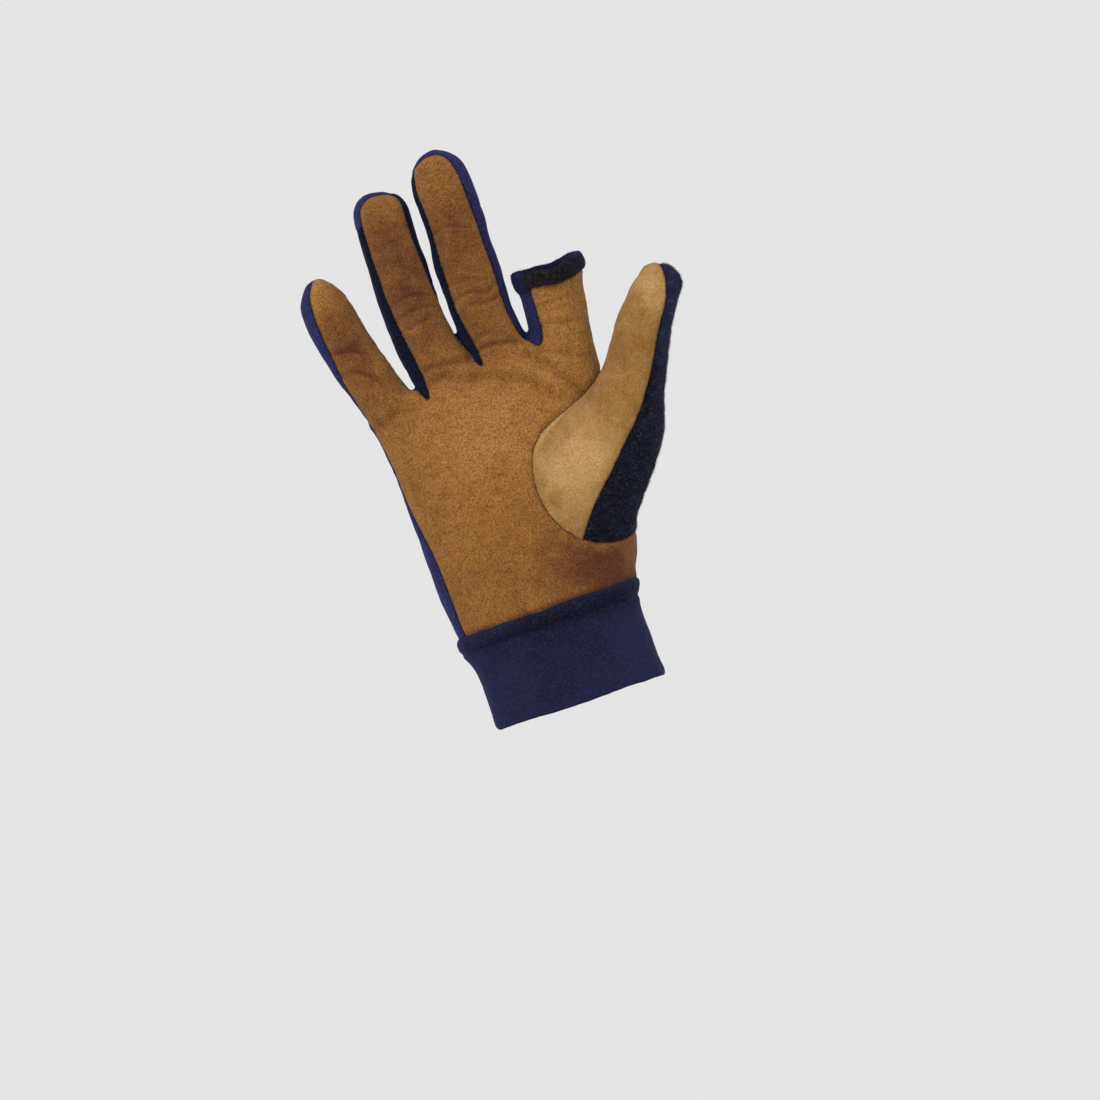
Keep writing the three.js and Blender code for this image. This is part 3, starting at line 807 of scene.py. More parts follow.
FOLDS: list[Fold] = [
    Fold(((2, 148), (8, 150.8), (16, 150.4), (25, 147.6)), 0.9, 1.2),
    Fold(((4, 153.5), (11, 155.5), (20, 154)), 0.5, 1.4),
    Fold(((2.5, 166), (9, 168.2), (17, 167.6), (23.5, 169)), 0.62, 0.85),
    Fold(((2.5, 171.6), (10, 173.2), (18, 172.6), (23, 174.8)), 0.7, 0.9),
    Fold(((2.5, 178.8), (10, 179.2), (17, 177.8), (22.5, 177.2)), 0.45, 0.85),
    Fold(((3, 200.5), (11, 201.4), (20, 199.6)), 0.6, 0.9),
    Fold(((-22, 166.4), (-14, 168.6), (-6, 168), (-1.5, 166)), 0.58, 0.85),
    Fold(((-22, 172), (-13, 173.8), (-3, 172.6)), 0.66, 0.9),
    Fold(((-22.5, 178), (-14, 179.4), (-5, 178.2)), 0.46, 0.85),
    Fold(((-22.5, 202), (-13, 203), (-5, 201.6)), 0.4, 1.1),
    Fold(((-20, 146.5), (-13, 149.5), (-4, 149), (3, 145.5)), 0.8, 1.3),
    Fold(((-19, 141), (-10, 144), (2, 141.5)), 0.6, 1.8),
    Fold(((-50, 158), (-43, 157), (-35, 151)), 0.7, 1.2),
    Fold(((-51.5, 168), (-44, 167), (-36, 163)), 0.6, 1.0),
    Fold(((-46, 132), (-34, 135.5), (-22, 137), (-12, 135)), 0.8, 2.0),
    Fold(((33, 151), (41, 150.4), (51, 148)), 0.8, 1.3),
    Fold(((33, 159), (42, 159.6), (54, 158)), 0.5, 1.1),
    Fold(((0, 140), (10, 138), (22, 131.5), (34, 121)), 1.0, 2.6),
    Fold(((24, 143), (30, 137), (36, 129), (41, 121.5)), 1.15, 2.2),
    Fold(((30, 142), (38, 139), (47, 133)), 0.75, 1.6),
]


# ---- tones, with painted light and shade


# Lighter and darker places on the palm's suede, most of them its own tone. The darker place low on the right near the
# wrist, at (30, 48), is painted shade. The lighter place in the thumb's web, at (48, 127), is painted light where that
# cleft would be shaded.
PALM_SPOTS: list[Spot] = [
    Spot(-14, 190, 12, 26, -0.42), Spot(12, 196, 13, 24, -0.32), Spot(12, 158, 12, 14, -0.2),
    Spot(-44, 174, 11, 20, -0.4), Spot(-36, 148, 10, 12, -0.16), Spot(-13, 158, 10, 10, -0.14),
    Spot(30, 48, 16, 12, -0.52), Spot(12, 60, 14, 14, -0.25), Spot(-20, 52, 14, 12, -0.06),
    Spot(0, 118, 26, 18, 0.32), Spot(-16, 86, 16, 22, 0.05), Spot(44, 146, 11, 26, 0.24),
    Spot(-49, 192, 8, 10, 0.42), Spot(30, 128, 12, 12, 0.16), Spot(48, 127, 6, 9, 0.3),
]  # fmt: skip
THUMB_SPOTS: list[Spot] = [
    Spot(27, 90, 18, 20, 0.34), Spot(36, 94, 12, 12, 0.26), Spot(85, 152, 12, 12, 0.34),
    Spot(55, 112, 10, 12, 0.04), Spot(28, 70, 8, 8, 0.08),
]  # fmt: skip
FLEECE_SPOTS: list[Spot] = [
    Spot(88, 148, 14, 18, 0.75), Spot(82, 124, 7, 14, 0.6), Spot(74, 104, 5, 12, 0.4),
    Spot(66, 88, 7, 16, 0.22), Spot(50, 90, 5, 14, 0.25), Spot(50, 70, 8, 8, 0.1),
]  # fmt: skip
# Painted light and shade on the cuff: darker under its rolled top, lighter on the left, on the right and along its
# folded lower edge.
CUFF_LIGHT_AND_SHADE_SPOTS: list[Spot] = [
    Spot(10, 36.4, 32, 4.2, -0.6), Spot(-34, 16, 16, 24, 0.22), Spot(30, 6, 22, 6, 0.2),
    Spot(35, 19, 10, 12, 0.8), Spot(0, 0.5, 60, 2.2, 0.25),
]  # fmt: skip


def tone_and_shade_of(panel: Panel, points: Array, crease: Array) -> Array:
    """How light a panel is at each point, from 0, dark, to 1, light: the spots' tone, some of it painted light and
    shade, less the painted shade in its creases.
    """
    base, spots = {
        Panel.PALM: (0.5, PALM_SPOTS),
        Panel.THUMB_FRONT: (0.55, THUMB_SPOTS),
        Panel.THUMB_BACK: (0.12, FLEECE_SPOTS),
    }.get(panel, (0.5, []))
    tone = np.full(len(points), base) + sum(spot.at(points) for spot in spots)
    # Painted shade: the crease value darkens the tone.
    return np.clip(tone - 0.22 * crease, 0, 1)


@dataclass
class Shell:
    """The hand's panels: it lofts, joins, cuts, folds and thickens them.

    Attributes:
        grain: The remeshed surface's step.
        wall: The panels' thickness.
        seam_depth: How deep the seams' valleys are.
        seam_width: How wide they are.
        rim_gap: How far each panel's edge is drawn back from its neighbour.
        cuff_height: Where the skin ends in the cuff.
        hem_height: Where the open index finger ends.
        opening: How far from left to right that end reaches.
        smallest_patch: The least number of triangles of a patch that isn't a stray one.
    """

    grain: float = 0.72
    wall: float = 1.3
    seam_depth: float = 0.6
    seam_width: float = 0.95
    rim_gap: float = 0.1
    cuff_height: float = 40.2
    hem_height: float = 170.2
    opening: tuple[float, float] = (27.6, 62)
    smallest_patch: int = 900
    seams: Seams = field(default_factory=Seams)
    skin: Skin | None = None
    gap: Array | None = None
    crease: Array | None = None
    ridge: Array | None = None

    def surface(self) -> Skin:
        """Joins the limbs into one skin and softens the forks between them."""
        limbs = [limb.build() for limb in (HAND, LITTLE, RING, MIDDLE, INDEX, ThumbLimb())]
        activate(limbs[0])
        for limb in limbs[1:]:
            limb.select_set(True)
        bpy.ops.object.join()
        whole = bpy.context.object
        apply_modifier(whole, "REMESH", mode="VOXEL", voxel_size=self.grain * MM, adaptivity=0.0)
        apply_modifier(whole, "SMOOTH", factor=0.5, iterations=7)
        skin = Skin.of(whole)
        bpy.data.objects.remove(whole)
        return skin

    def divide(self, skin: Skin) -> None:
        """Trims the open ends and cuts the skin along its seams."""
        skin.keep(skin.cut(skin.points[:, 2] - self.cuff_height))
        hem = self.hem_height - skin.points[:, 2]
        hem[(skin.points[:, 0] < self.opening[0]) | (skin.points[:, 0] > self.opening[1])] = 10
        skin.keep(skin.cut(hem))
        on_thumb = skin.cut(self.seams.thumb(skin.points))
        skin.labels = np.where(on_thumb, Panel.THUMB_BACK.label, Panel.BACK.label)
        front = skin.cut(self.seams.thumb_front(skin.points), skin.labels == Panel.THUMB_BACK.label)
        skin.labels[front] = Panel.THUMB_FRONT.label
        palm = skin.cut(self.seams.palm(skin.points), skin.labels == Panel.BACK.label)
        skin.labels[palm] = Panel.PALM.label
        for which, panel in enumerate(FORKS):
            fork = skin.cut(self.seams.fork(skin.points, which), skin.labels == Panel.BACK.label)
            skin.labels[fork] = panel.label
        skin.merge_islands(self.smallest_patch)

    def shape(self, skin: Skin) -> None:
        """Presses the seams, folds and soft unevenness into the skin, and works out the painted shade of its creases
        and seams.
        """
        skin.relax(6, np.full(len(skin.points), 0.5))
        normals = skin.normals()
        pairs, owners = skin.seam_edges()
        suede = np.isin(owners, [Panel.PALM.label, Panel.THUMB_FRONT.label])
        base, deep = suede.all(1), suede.any(1) & ~suede.all(1)
        gap, rear_gap, base_gap = (
            nearest_distance(skin.points, skin.points[np.unique(pairs[kind])]) for kind in (deep, ~suede.any(1), base)
        )
        facing = np.clip(-normals[:, 1] * 1.4 - 0.1, 0, 1)
        p = skin.points
        out = -self.seam_depth * hump(gap, self.seam_width) + 0.25 * hump(gap - 3.4, 2.2)
        out -= 0.3 * hump(rear_gap, self.seam_width) * (gap > 2)
        out -= 0.34 * hump(base_gap, self.seam_width) - 0.2 * hump(base_gap - 3, 2)
        out += 0.2 * soft_noise(p, 3.4, 5.1) * hump(gap - 2, 2)
        out += 0.5 * soft_noise(p, 21, 1.7) + 0.22 * soft_noise(p, 9, 8.3) + 0.06 * soft_noise(p, 3.4, 3.9)
        # crease holds painted shade: a dark line where the suede meets the top of the cuff, and the valley of each
        # fold.
        crease = 1.7 * hump(p[:, 2] - 41.4 - 0.012 * p[:, 0], 1.3)
        bent = p + np.stack([0.8 * soft_noise(p, 8, 3.3), 0 * gap, 0.8 * soft_noise(p, 8, 9.1)], axis=1)
        for fold in FOLDS:
            out += fold.press(bent, facing)
            crease += fold.shade(bent, facing)
        skin.points = p + normals * out[:, None]
        nearest = np.minimum(np.minimum(gap, rear_gap), base_gap)
        skin.relax(2, np.where(nearest < 2.2, 0.5, 0.12))
        # gap drives the painted shade in the seams' valleys, kept weaker along the upper thumb base seam; ridge marks a
        # painted highlight on the thumb's side of that seam.
        upper = np.clip((p[:, 2] - 100) / 12, 0, 1)
        self.gap = np.minimum(np.minimum(gap, rear_gap + 0.3), base_gap + 0.5 + 0.4 * upper)
        self.crease, self.ridge = crease, upper * hump(base_gap - 0.9, 1.3)

    def part_rims(self, points: Array, faces: Array) -> None:
        """Draws a panel's edge back by a hair, so that neighbours lie side by side without touching."""
        edges, alone = rim_of(faces)
        rim = np.zeros(len(points), bool)
        rim[edges[alone]] = True
        total = np.zeros_like(points)
        for a, b in ((0, 1), (1, 0)):
            inner = edges[rim[edges[:, a]] & ~rim[edges[:, b]]]
            np.add.at(total, inner[:, a], points[inner[:, b]] - points[inner[:, a]])
        length = np.linalg.norm(total, axis=1)
        go = length > 1e-6
        points[go] += total[go] / length[go, None] * self.rim_gap

    def build(self, finishes: dict[Panel, Material]) -> None:
        """Makes every panel of the hand.

        Args:
            finishes: The material of each panel.
        """
        self.skin = skin = self.surface()
        self.divide(skin)
        self.shape(skin)
        for panel in Panel:
            points, faces, used = skin.panel(panel)
            self.part_rims(points, faces)
            piece = new_piece(panel.value + "_panel", points, faces.tolist())
            # Painted highlight along the upper thumb base seam on the thumb's suede, and painted shade beside it on the
            # palm.
            crease = self.crease[used] - (1.3 if panel is Panel.THUMB_FRONT else -0.35) * self.ridge[used]
            paint(piece, "tone", tone_and_shade_of(panel, points, crease))
            paint(piece, "seam", self.gap[used])
            piece.data.materials.append(finishes[panel])
            apply_modifier(piece, "SOLIDIFY", thickness=self.wall * MM, offset=-1.0, use_even_offset=False)
            piece.data.shade_smooth()
            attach(piece, "root")
            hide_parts(panel.value)


@dataclass
class Cuff:
    """The double fleece cuff: a straight band with a folded lower edge and a rolled top.

    Attributes:
        sides: How many points go round it.
        slant: How much its upper part rises to the right.
        reach: Rows of height, and its reach to the left, to the right, and to the front and rear.
    """

    sides: int = 220
    slant: float = 0.012
    reach: tuple[tuple[float, ...], ...] = (
        (0, 34.6, 36.6, 24.2), (10, 35.0, 36.7, 24.3), (20, 35.2, 36.6, 24.0), (26, 35.9, 36.3, 23.8),
        (30, 37.0, 36.3, 23.6), (33, 38.3, 36.8, 23.4), (34.6, 38.9, 37.2, 23.2), (37, 37.3, 36.2, 23.2),
        (40, 36.8, 37.0, 23.2), (42, 36.8, 37.2, 23.2),
    )  # fmt: skip

    def profile(self) -> Array:
        """Rows of height and outward reach from the plain wall, up the outside and down the inside."""
        outside = [(1.2, -1.0), (0.0, -0.2), (0.9, 0.7), (3, 0.95), (8, 0.5), (16, 0.2), (24, 0.0), (29, 0.2),
                   (32.4, 0.5), (33.8, 0.1), (34.6, 0.0), (35.6, 1.2), (37.0, 2.4), (38.8, 2.7), (40.2, 2.3),
                   (41.1, 1.2), (41.2, 0.0)]
        inside = [(39.6, -1.6), (35, -2.8), (25, -3.0), (15, -3.0), (5, -2.8), (2, -2.2)]
        return smooth_curve(np.array(outside + inside), 66)

    def build(self, finish: Material) -> Piece:
        """Makes the cuff.

        Args:
            finish: Its material.

        Returns:
            The cuff's object.
        """
        unit = superellipse(self.sides, 2.5)
        heights, *reach = np.array(self.reach).T
        rings = []
        for z, lift in self.profile():
            left, right, depth = (np.interp(z, heights, row) for row in reach)
            x = unit[:, 0] * (np.where(unit[:, 0] < 0, left, right) + lift)
            tilt = self.slant * x * np.clip(z / 40, 0, 1)
            rings.append(np.stack([x, unit[:, 1] * (depth + lift), z + tilt], axis=1))
        piece = loft("cuff_band", np.array(rings), capped=False)
        p = coordinates(piece)
        out = 0.35 * soft_noise(p, 17, 2.2) + 0.16 * soft_noise(p, 6, 4.8, (1, 1, 0.6)) + 0.06 * soft_noise(p, 2.4, 6.1)
        uphill = p[:, 0] * 0.45 + p[:, 2] * 0.9
        wrinkle = hump(uphill - 14, 1.6) + 0.7 * hump(uphill - 24, 1.8)
        out -= 0.35 * wrinkle * (np.abs(p[:, 0] + 2) < 26) * (p[:, 2] < 33)
        push_out(piece, out)
        piece.data.shade_smooth()
        # The cuff's tone is painted light and shade: darker under the rolled top, lighter on the left, on the right and
        # along the folded lower edge.
        paint(piece, "tone", np.clip(0.5 + sum(spot.at(p) for spot in CUFF_LIGHT_AND_SHADE_SPOTS), 0, 1))
        piece.data.materials.append(finish)
        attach(piece, "root")
        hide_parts("cuff")
        return piece


@dataclass
class IndexHem:
    """The soft hem round the open end of the index finger: a band in front and a thicker roll behind.

    Attributes:
        centre: The opening's middle, across and in depth.
        half_width: Its half width.
        half_depth: Its half depth.
        steps: How many rings a strip has.
        allowance: The width, in metres, that is sewn in and can't be seen. It is not used.
        lengths: Each strip's length in metres, by the solid that it stands for.
    """

    centre: tuple[float, float] = (43.9, -2.5)
    half_width: float = 13.6
    half_depth: float = 11.6
    steps: int = 90
    allowance: float = 2.4 * MM
    lengths: dict[str, float] = field(default_factory=dict)

    def strip(self, name: str, node: str, start: float, end: float,
              rows: list[tuple[float, float, float, float, float]]) -> Piece:
        """Lofts a strip that goes round the opening.

        Args:
            name: The object's name.
            node: The solid that it stands for.
            start: The angle where it starts, in degrees from the front by the right.
            end: The angle where it ends.
            rows: Rows of share of the way round, middle height, height, thickness and outward shift.

        Returns:
            The strip's object.
        """
        table = smooth_curve(np.array(rows), self.steps)
        table[:, 0] = np.linspace(0, 1, self.steps)
        section = np.linspace(0, 2 * math.pi, 28, endpoint=False)
        cos, sin = np.cos(section), np.sin(section)
        rings = []
        for share, middle, height, thick, shift in table:
            angle = math.radians(start + (end - start) * share)
            s, c = math.sin(angle), math.cos(angle)
            out = np.array([s, -c])
            base = np.array([self.centre[0] + s * self.half_width, self.centre[1] - c * self.half_depth]) + out * shift
            bulge = np.sign(cos) * np.abs(cos) ** 0.8 * thick / 2
            rise = np.sign(sin) * np.abs(sin) ** 0.75 * height / 2
            rings.append(np.stack([base[0] + out[0] * bulge, base[1] + out[1] * bulge, middle + rise], axis=1))
        piece = loft(name, np.array(rings))
        middles = np.array(rings).mean(1) * MM
        self.lengths[node] = float(np.linalg.norm(np.diff(middles, axis=0), axis=1).sum())
        p = coordinates(piece)
        push_out(piece, 0.25 * soft_noise(p, 5, 1.2) + 0.12 * soft_noise(p, 1.8, 7.7))
        return piece

    def build(self, band_finish: Material, roll_finish: Material) -> list[Piece]:
        """Makes the band and the roll."""
        band = self.strip(
            "index_band_strip", "index_band", -49, 74,
            [(0, 170.2, 5.4, 1.8, 0.6), (0.06, 170.3, 6.4, 2.6, 0.9), (0.25, 169.6, 6.6, 3.0, 1.0),
             (0.55, 169.1, 6.6, 3.0, 1.0), (0.85, 170.0, 7.0, 3.0, 0.9), (0.96, 170.8, 7.0, 2.6, 0.8),
             (1, 171.0, 6.0, 1.8, 0.6)],
        )
        roll = self.strip(
            "index_hem_strip", "index_hem_roll", 60, 318,
            [(0, 172.0, 5.0, 2.4, 0.0), (0.06, 172.2, 7.8, 4.0, 0.3), (0.14, 172.3, 8.2, 4.8, 0.5),
             (0.5, 171.2, 8.0, 4.2, 0.2), (0.76, 171.6, 8.4, 4.2, 0.2), (0.88, 171.6, 8.6, 4.2, 0.1),
             (0.95, 170.8, 9.4, 3.2, -0.1), (1, 169.6, 7.4, 1.6, 0.3)],
        )
        for piece, finish, node in ((band, band_finish, "index_band"), (roll, roll_finish, "index_hem_roll")):
            piece.data.shade_smooth()
            piece.data.materials.append(finish)
            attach(piece, "root")
            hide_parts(node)
        return [band, roll]


# ---- stitches and pile


def template(piece: Piece) -> Shape:
    """Takes a small modelled piece's points and faces, and removes the piece.

    Returns:
        Its points in metres and its faces.
    """
    points = coordinates(piece) * MM
    faces = [list(polygon.vertices) for polygon in piece.data.polygons]
    bpy.data.objects.remove(piece)
    return points, faces


def scatter(name: str, shape: Shape, frames: Array) -> Piece:
    """Sets copies of a small shape into one mesh.

    Args:
        name: The new object's name.
        shape: The shape's points, of unit size, and its faces.
        frames: For each copy its middle and its three scaled axes, of shape (copies, 4, 3) in millimetres.

    Returns:
        The new object.
    """
    points, faces = shape
    placed = frames[:, None, 0] + np.einsum("pi,nij->npj", points, frames[:, 1:])
    shift = np.arange(len(frames)) * len(points)
    piece = new_piece(name, placed.reshape(-1, 3), [[v + s for v in f] for s in shift for f in faces])
    piece.data.shade_smooth()
    return piece


def square_axes(along: Array, up: Array) -> Array:
    """Three unit axes for each row, of shape (rows, 3, 3): the third along a direction, the second nearest to up."""
    third = along / np.maximum(np.linalg.norm(along, axis=1), 1e-9)[:, None]
    first = np.cross(up, third)
    first /= np.maximum(np.linalg.norm(first, axis=1), 1e-9)[:, None]
    return np.stack([first, np.cross(third, first), third], axis=1)


@dataclass
class Stitching:
    """Rows of short stitches that lie in the seams' valleys.

    Attributes:
        spacing: From one stitch to the next.
        length: A stitch's length.
        radius: The thread's radius.
        lift: How far a stitch's middle stands off the skin.
    """

    spacing: float = 2.5
    length: float = 1.55
    radius: float = 0.17
    lift: float = 0.22

    def stitch(self) -> Shape:
        """Models one stitch: a short round bar with tapered ends, one metre long and about as wide."""
        deselect_all()
        bpy.ops.mesh.primitive_uv_sphere_add(segments=6, ring_count=6, radius=0.5)
        piece = bpy.context.object
        points = coordinates(piece)
        belly = np.abs(points[:, 2]) < 300
        points[belly, :2] *= 1.1
        place(piece, points)
        return template(piece)

    def build(
        self, skin: Skin, wanted: list[tuple[Panel, Panel]], name: str, slot: str, finish: Material
    ) -> None:
        """Sews along every seam between the wanted pairs of panels.

        Args:
            skin: The cut and shaped skin.
            wanted: Pairs of panels.
            name: The object's name.
            slot: Not used.
            finish: The thread's material.
        """
        pairs, owners = skin.seam_edges()
        keys = {tuple(sorted((a.label, b.label))) for a, b in wanted}
        chosen = np.array([tuple(sorted(o)) in keys for o in owners.tolist()])
        normals = skin.normals()
        frames = []
        for run in skin.chains(pairs[chosen]):
            line, up = skin.points[run], normals[run]
            step = np.linalg.norm(np.diff(line, axis=0), axis=1)
            at = np.concatenate([[0], np.cumsum(step)])
            if at[-1] < 3 * self.spacing:
                continue
            middle = np.arange(self.spacing / 2, at[-1] - self.spacing / 2, self.spacing)
            centre, start, end, out = (
                np.stack([np.interp(where, at, values[:, i]) for i in range(3)], axis=1)
                for values, where in (
                    (line, middle),
                    (line, middle - self.length / 2),
                    (line, middle + self.length / 2),
                    (up, middle),
                )
            )
            axes = square_axes(end - start, out) * np.array([2 * self.radius, 2 * self.radius, self.length])[:, None]
            frames.append(np.concatenate([(centre + self.lift * out)[:, None], axes], axis=1))
        piece = scatter(name, self.stitch(), np.concatenate(frames))
        piece.data.materials.append(finish)
        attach(piece, "root")


@dataclass
class Pile:
    """Short fibres that stand off a fleece surface.

    Attributes:
        count: How many fibres.
        length: Their mean length.
        lean: The direction they lie in.
        rise: How much they stand up from the surface, against how much they lie down.
        width: How thick each is at its root.
        seed: The seed of their places.
        turned: The share of fibres that lie the other way.
        spread: How far their directions scatter.
        root_depth: How deep they are set in.
    """

    count: int
    length: float
    lean: tuple[float, float, float] = (0.95, 0.0, -0.32)
    rise: float = 0.5
    width: float = 0.11
    seed: int = 4
    turned: float = 0.3
    spread: float = 0.45
    root_depth: float = 0.1

    def fibre(self) -> Shape:
        """Models one fibre: a thin pointed blade one unit long."""
        deselect_all()
        bpy.ops.mesh.primitive_cone_add(vertices=3, radius1=0.5, radius2=0.0, depth=1.0, location=(0, 0, 0.5))
        piece = bpy.context.object
        bpy.ops.object.transform_apply(location=True)
        return template(piece)

    def build(self, points: Array, faces: Array, name: str, slot: str, finish: Material) -> None:
        """Sows the fibres over a surface.

        Args:
            points: The surface's vertices in millimetres.
            faces: Its triangles.
            name: The object's name.
            slot: Not used.
            finish: Their material.
        """
        rng = np.random.default_rng(self.seed)
        a, b, c = (points[faces[:, i]] for i in range(3))
        normal = face_normals(points, faces)
        area = np.linalg.norm(normal, axis=1)
        pick = rng.choice(len(faces), self.count, p=area / area.sum())
        u, v = rng.random((2, self.count))
        flip = u + v > 1
        u[flip], v[flip] = 1 - u[flip], 1 - v[flip]
        root = a[pick] + u[:, None] * (b - a)[pick] + v[:, None] * (c - a)[pick]
        up = normal[pick] / area[pick, None]
        side = np.array(self.lean) * rng.choice([-1, 1], self.count, p=[self.turned, 1 - self.turned])[:, None]
        along = side + rng.normal(0, self.spread, (self.count, 3))
        along -= (along * up).sum(1)[:, None] * up
        along /= np.linalg.norm(along, axis=1)[:, None]
        along += up * self.rise * rng.uniform(0.5, 1.5, (self.count, 1))
        length = self.length * rng.uniform(0.6, 1.4, (self.count, 1))
        thick = np.full_like(length, self.width)
        axes = square_axes(along, up) * np.hstack([thick, thick, length])[:, :, None]
        frames = np.concatenate([(root - self.root_depth * up)[:, None], axes], axis=1)
        piece = scatter(name, self.fibre(), frames)
        piece.data.materials.append(finish)
        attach(piece, "root")


def triangles_of(piece: Piece) -> tuple[Array, Array]:
    """A lofted piece's vertices in millimetres and its triangles, in the rings' order, which is always the same."""
    rank = np.empty(len(piece.data.vertices), np.int32)
    piece.data.attributes["order"].data.foreach_get("value", rank)
    faces = []
    for polygon in piece.data.polygons:
        ring = list(polygon.vertices)
        first = int(np.argmin(rank[ring]))
        ring = ring[first:] + ring[:first]
        faces += [(ring[0], ring[k], ring[k + 1]) for k in range(1, len(ring) - 1)]
    faces = np.array(faces)
    return coordinates(piece), faces[np.lexsort(rank[faces].T[::-1])]


# ---- finishes


class NodeTree:
    """A small helper that adds and links a material's nodes."""

    def __init__(self, name: str) -> None:
        """Starts a material with a principled shader."""
        self.material = bpy.data.materials.new(name)
        self.material.use_nodes = True
        self.tree = self.material.node_tree
        self.shader = self.tree.nodes["Principled BSDF"]

    def add(self, kind: str, **inputs: object) -> bpy.types.Node:
        """Adds a node. An input that is a socket is linked, and any other is set."""
        node = self.tree.nodes.new(kind)
        for key, value in inputs.items():
            if key in node.inputs:
                self.join(value, node.inputs[key])
            else:
                setattr(node, key, value)
        return node

    def attribute(self, name: str) -> Socket:
        """A value that is painted on the piece's vertices."""
        return self.add("ShaderNodeAttribute", attribute_name=name).outputs["Fac"]

    def settle(self, **values: object) -> None:
        """Sets or links the shader's own sockets, named with underscores for spaces."""
        for key, value in values.items():
            self.join(value, self.shader.inputs[key.replace("_", " ")])

    def join(self, value: object, socket: Socket) -> None:
        """Links a socket to an input, or sets its value."""
        if isinstance(value, Socket):
            self.tree.links.new(value, socket)
        else:
            socket.default_value = value

    def noise(self, scale: float, detail: float, roughness: float = 0.55) -> Socket:
        """Noise of a scale per metre, as a value from 0 to 1."""
        where = self.add("ShaderNodeTexCoord").outputs["Object"]
        node = self.add("ShaderNodeTexNoise", Scale=scale, Detail=detail, Roughness=roughness, Vector=where)
        return node.outputs["Fac"]

    def ramp(self, value: Socket, *stops: tuple[float, tuple[float, float, float]]) -> Socket:
        """Maps a value to colours."""
        node = self.add("ShaderNodeValToRGB", Fac=value)
        ramp = node.color_ramp
        while len(ramp.elements) < len(stops):
            ramp.elements.new(0.5)
        for element, (at, colour) in zip(ramp.elements, stops):
            element.position = at
            element.color = (*colour, 1)
        return node.outputs["Color"]

    def mix(self, share: object, a: Socket, b: object, blend: str = "MIX") -> Socket:
        """Mixes two colours. The mixer's colour sockets are its inputs 6 and 7 and its output 2."""
        node = self.add("ShaderNodeMix", data_type="RGBA", blend_type=blend)
        for place_in, value in ((0, share), (6, a), (7, b if isinstance(b, Socket) else (*b, 1))):
            self.join(value, node.inputs[place_in])
        return node.outputs[2]

    def sum_of(self, value: Socket, other: object, gain: float = 1.0, lift: float = 0.0) -> Socket:
        """A value plus another that is first multiplied by a gain and lifted."""
        return self.maths("ADD", value, self.maths("MULTIPLY_ADD", other, gain, lift))

    def maths(self, operation: str, *values: object) -> Socket:
        """One sum over values or sockets."""
        node = self.add("ShaderNodeMath", operation=operation)
        for k, value in enumerate(values):
            self.join(value, node.inputs[k])
        return node.outputs[0]

    def bump(self, height: Socket, distance: float, under: Socket | None = None) -> Socket:
        """A bump of a given height in metres, on top of another."""
        node = self.add("ShaderNodeBump", Strength=1.0, Distance=distance, Height=height)
        if under:
            self.join(under, node.inputs["Normal"])
        return node.outputs["Normal"]


def linear(colour: Colour) -> tuple[float, ...]:
    """A screen colour, 0 to 255, as linear light."""
    shares = [v / 255 for v in colour]
    return tuple(v / 12.92 if v <= 0.04045 else ((v + 0.055) / 1.055) ** 2.4 for v in shares)


WHITE = (1, 1, 1)


@dataclass(frozen=True)
class SuedeFinish:
    """Brushed suede: mottled, with a short nap and darker pores, and painted shade from its tone and in its seams'
    valleys.

    Attributes:
        name: The material's name.
        dark: Its darkest colour.
        middle: Its middle colour.
        light: Its lightest colour.
        grain: How strongly the nap and the pores show.
    """

    name: str
    dark: Colour
    middle: Colour
    light: Colour
    grain: float = 0.9

    def material(self) -> Material:
        """Builds the material."""
        nodes = NodeTree(self.name)
        nap, pores = nodes.noise(1250, 3, 0.7), nodes.noise(3000, 2, 0.6)
        # The painted tone carries painted shade in the creases and some painted light and shade spots.
        value = nodes.sum_of(nodes.attribute("tone"), nodes.noise(70, 4, 0.6), 0.5, -0.25)
        value = nodes.sum_of(value, nodes.noise(190, 3, 0.6), 0.5, -0.25)
        colour = nodes.ramp(value, (0.0, linear(self.dark)), (0.5, linear(self.middle)), (1.0, linear(self.light)))
        shade = nodes.ramp(nap, (0.36, (0.52, 0.46, 0.41)), (0.5, WHITE), (0.66, (1.44, 1.43, 1.38)))
        colour = nodes.mix(self.grain, colour, shade, "MULTIPLY")
        fine = nodes.ramp(pores, (0.36, (0.6, 0.56, 0.52)), (0.5, WHITE), (0.66, (1.34, 1.33, 1.3)))
        colour = nodes.mix(self.grain, colour, fine, "MULTIPLY")
        # Painted shade darkens the suede in each seam's valley, about half a millimetre from the seam; right at the
        # seam the raw edge is lighter.
        seam = nodes.maths("MULTIPLY_ADD", nodes.attribute("seam"), 0.9, 0.0)
        raw_edge, valley = (0.0, (1.5, 1.5, 1.5)), (0.46, (0.62, 0.55, 0.48))
        edge = nodes.ramp(seam, raw_edge, (0.2, (1.15, 1.12, 1.1)), valley, (0.85, WHITE))
        nodes.settle(
            Base_Color=nodes.mix(0.85, colour, edge, "MULTIPLY"),
            Normal=nodes.bump(pores, 0.0003, nodes.bump(nap, 0.0005)),
            Roughness=0.95,
            Specular_IOR_Level=0.12,
            Sheen_Weight=0.12,
            Sheen_Roughness=0.6,
            Sheen_Tint=(0.9, 0.75, 0.55, 1),
        )
        return nodes.material


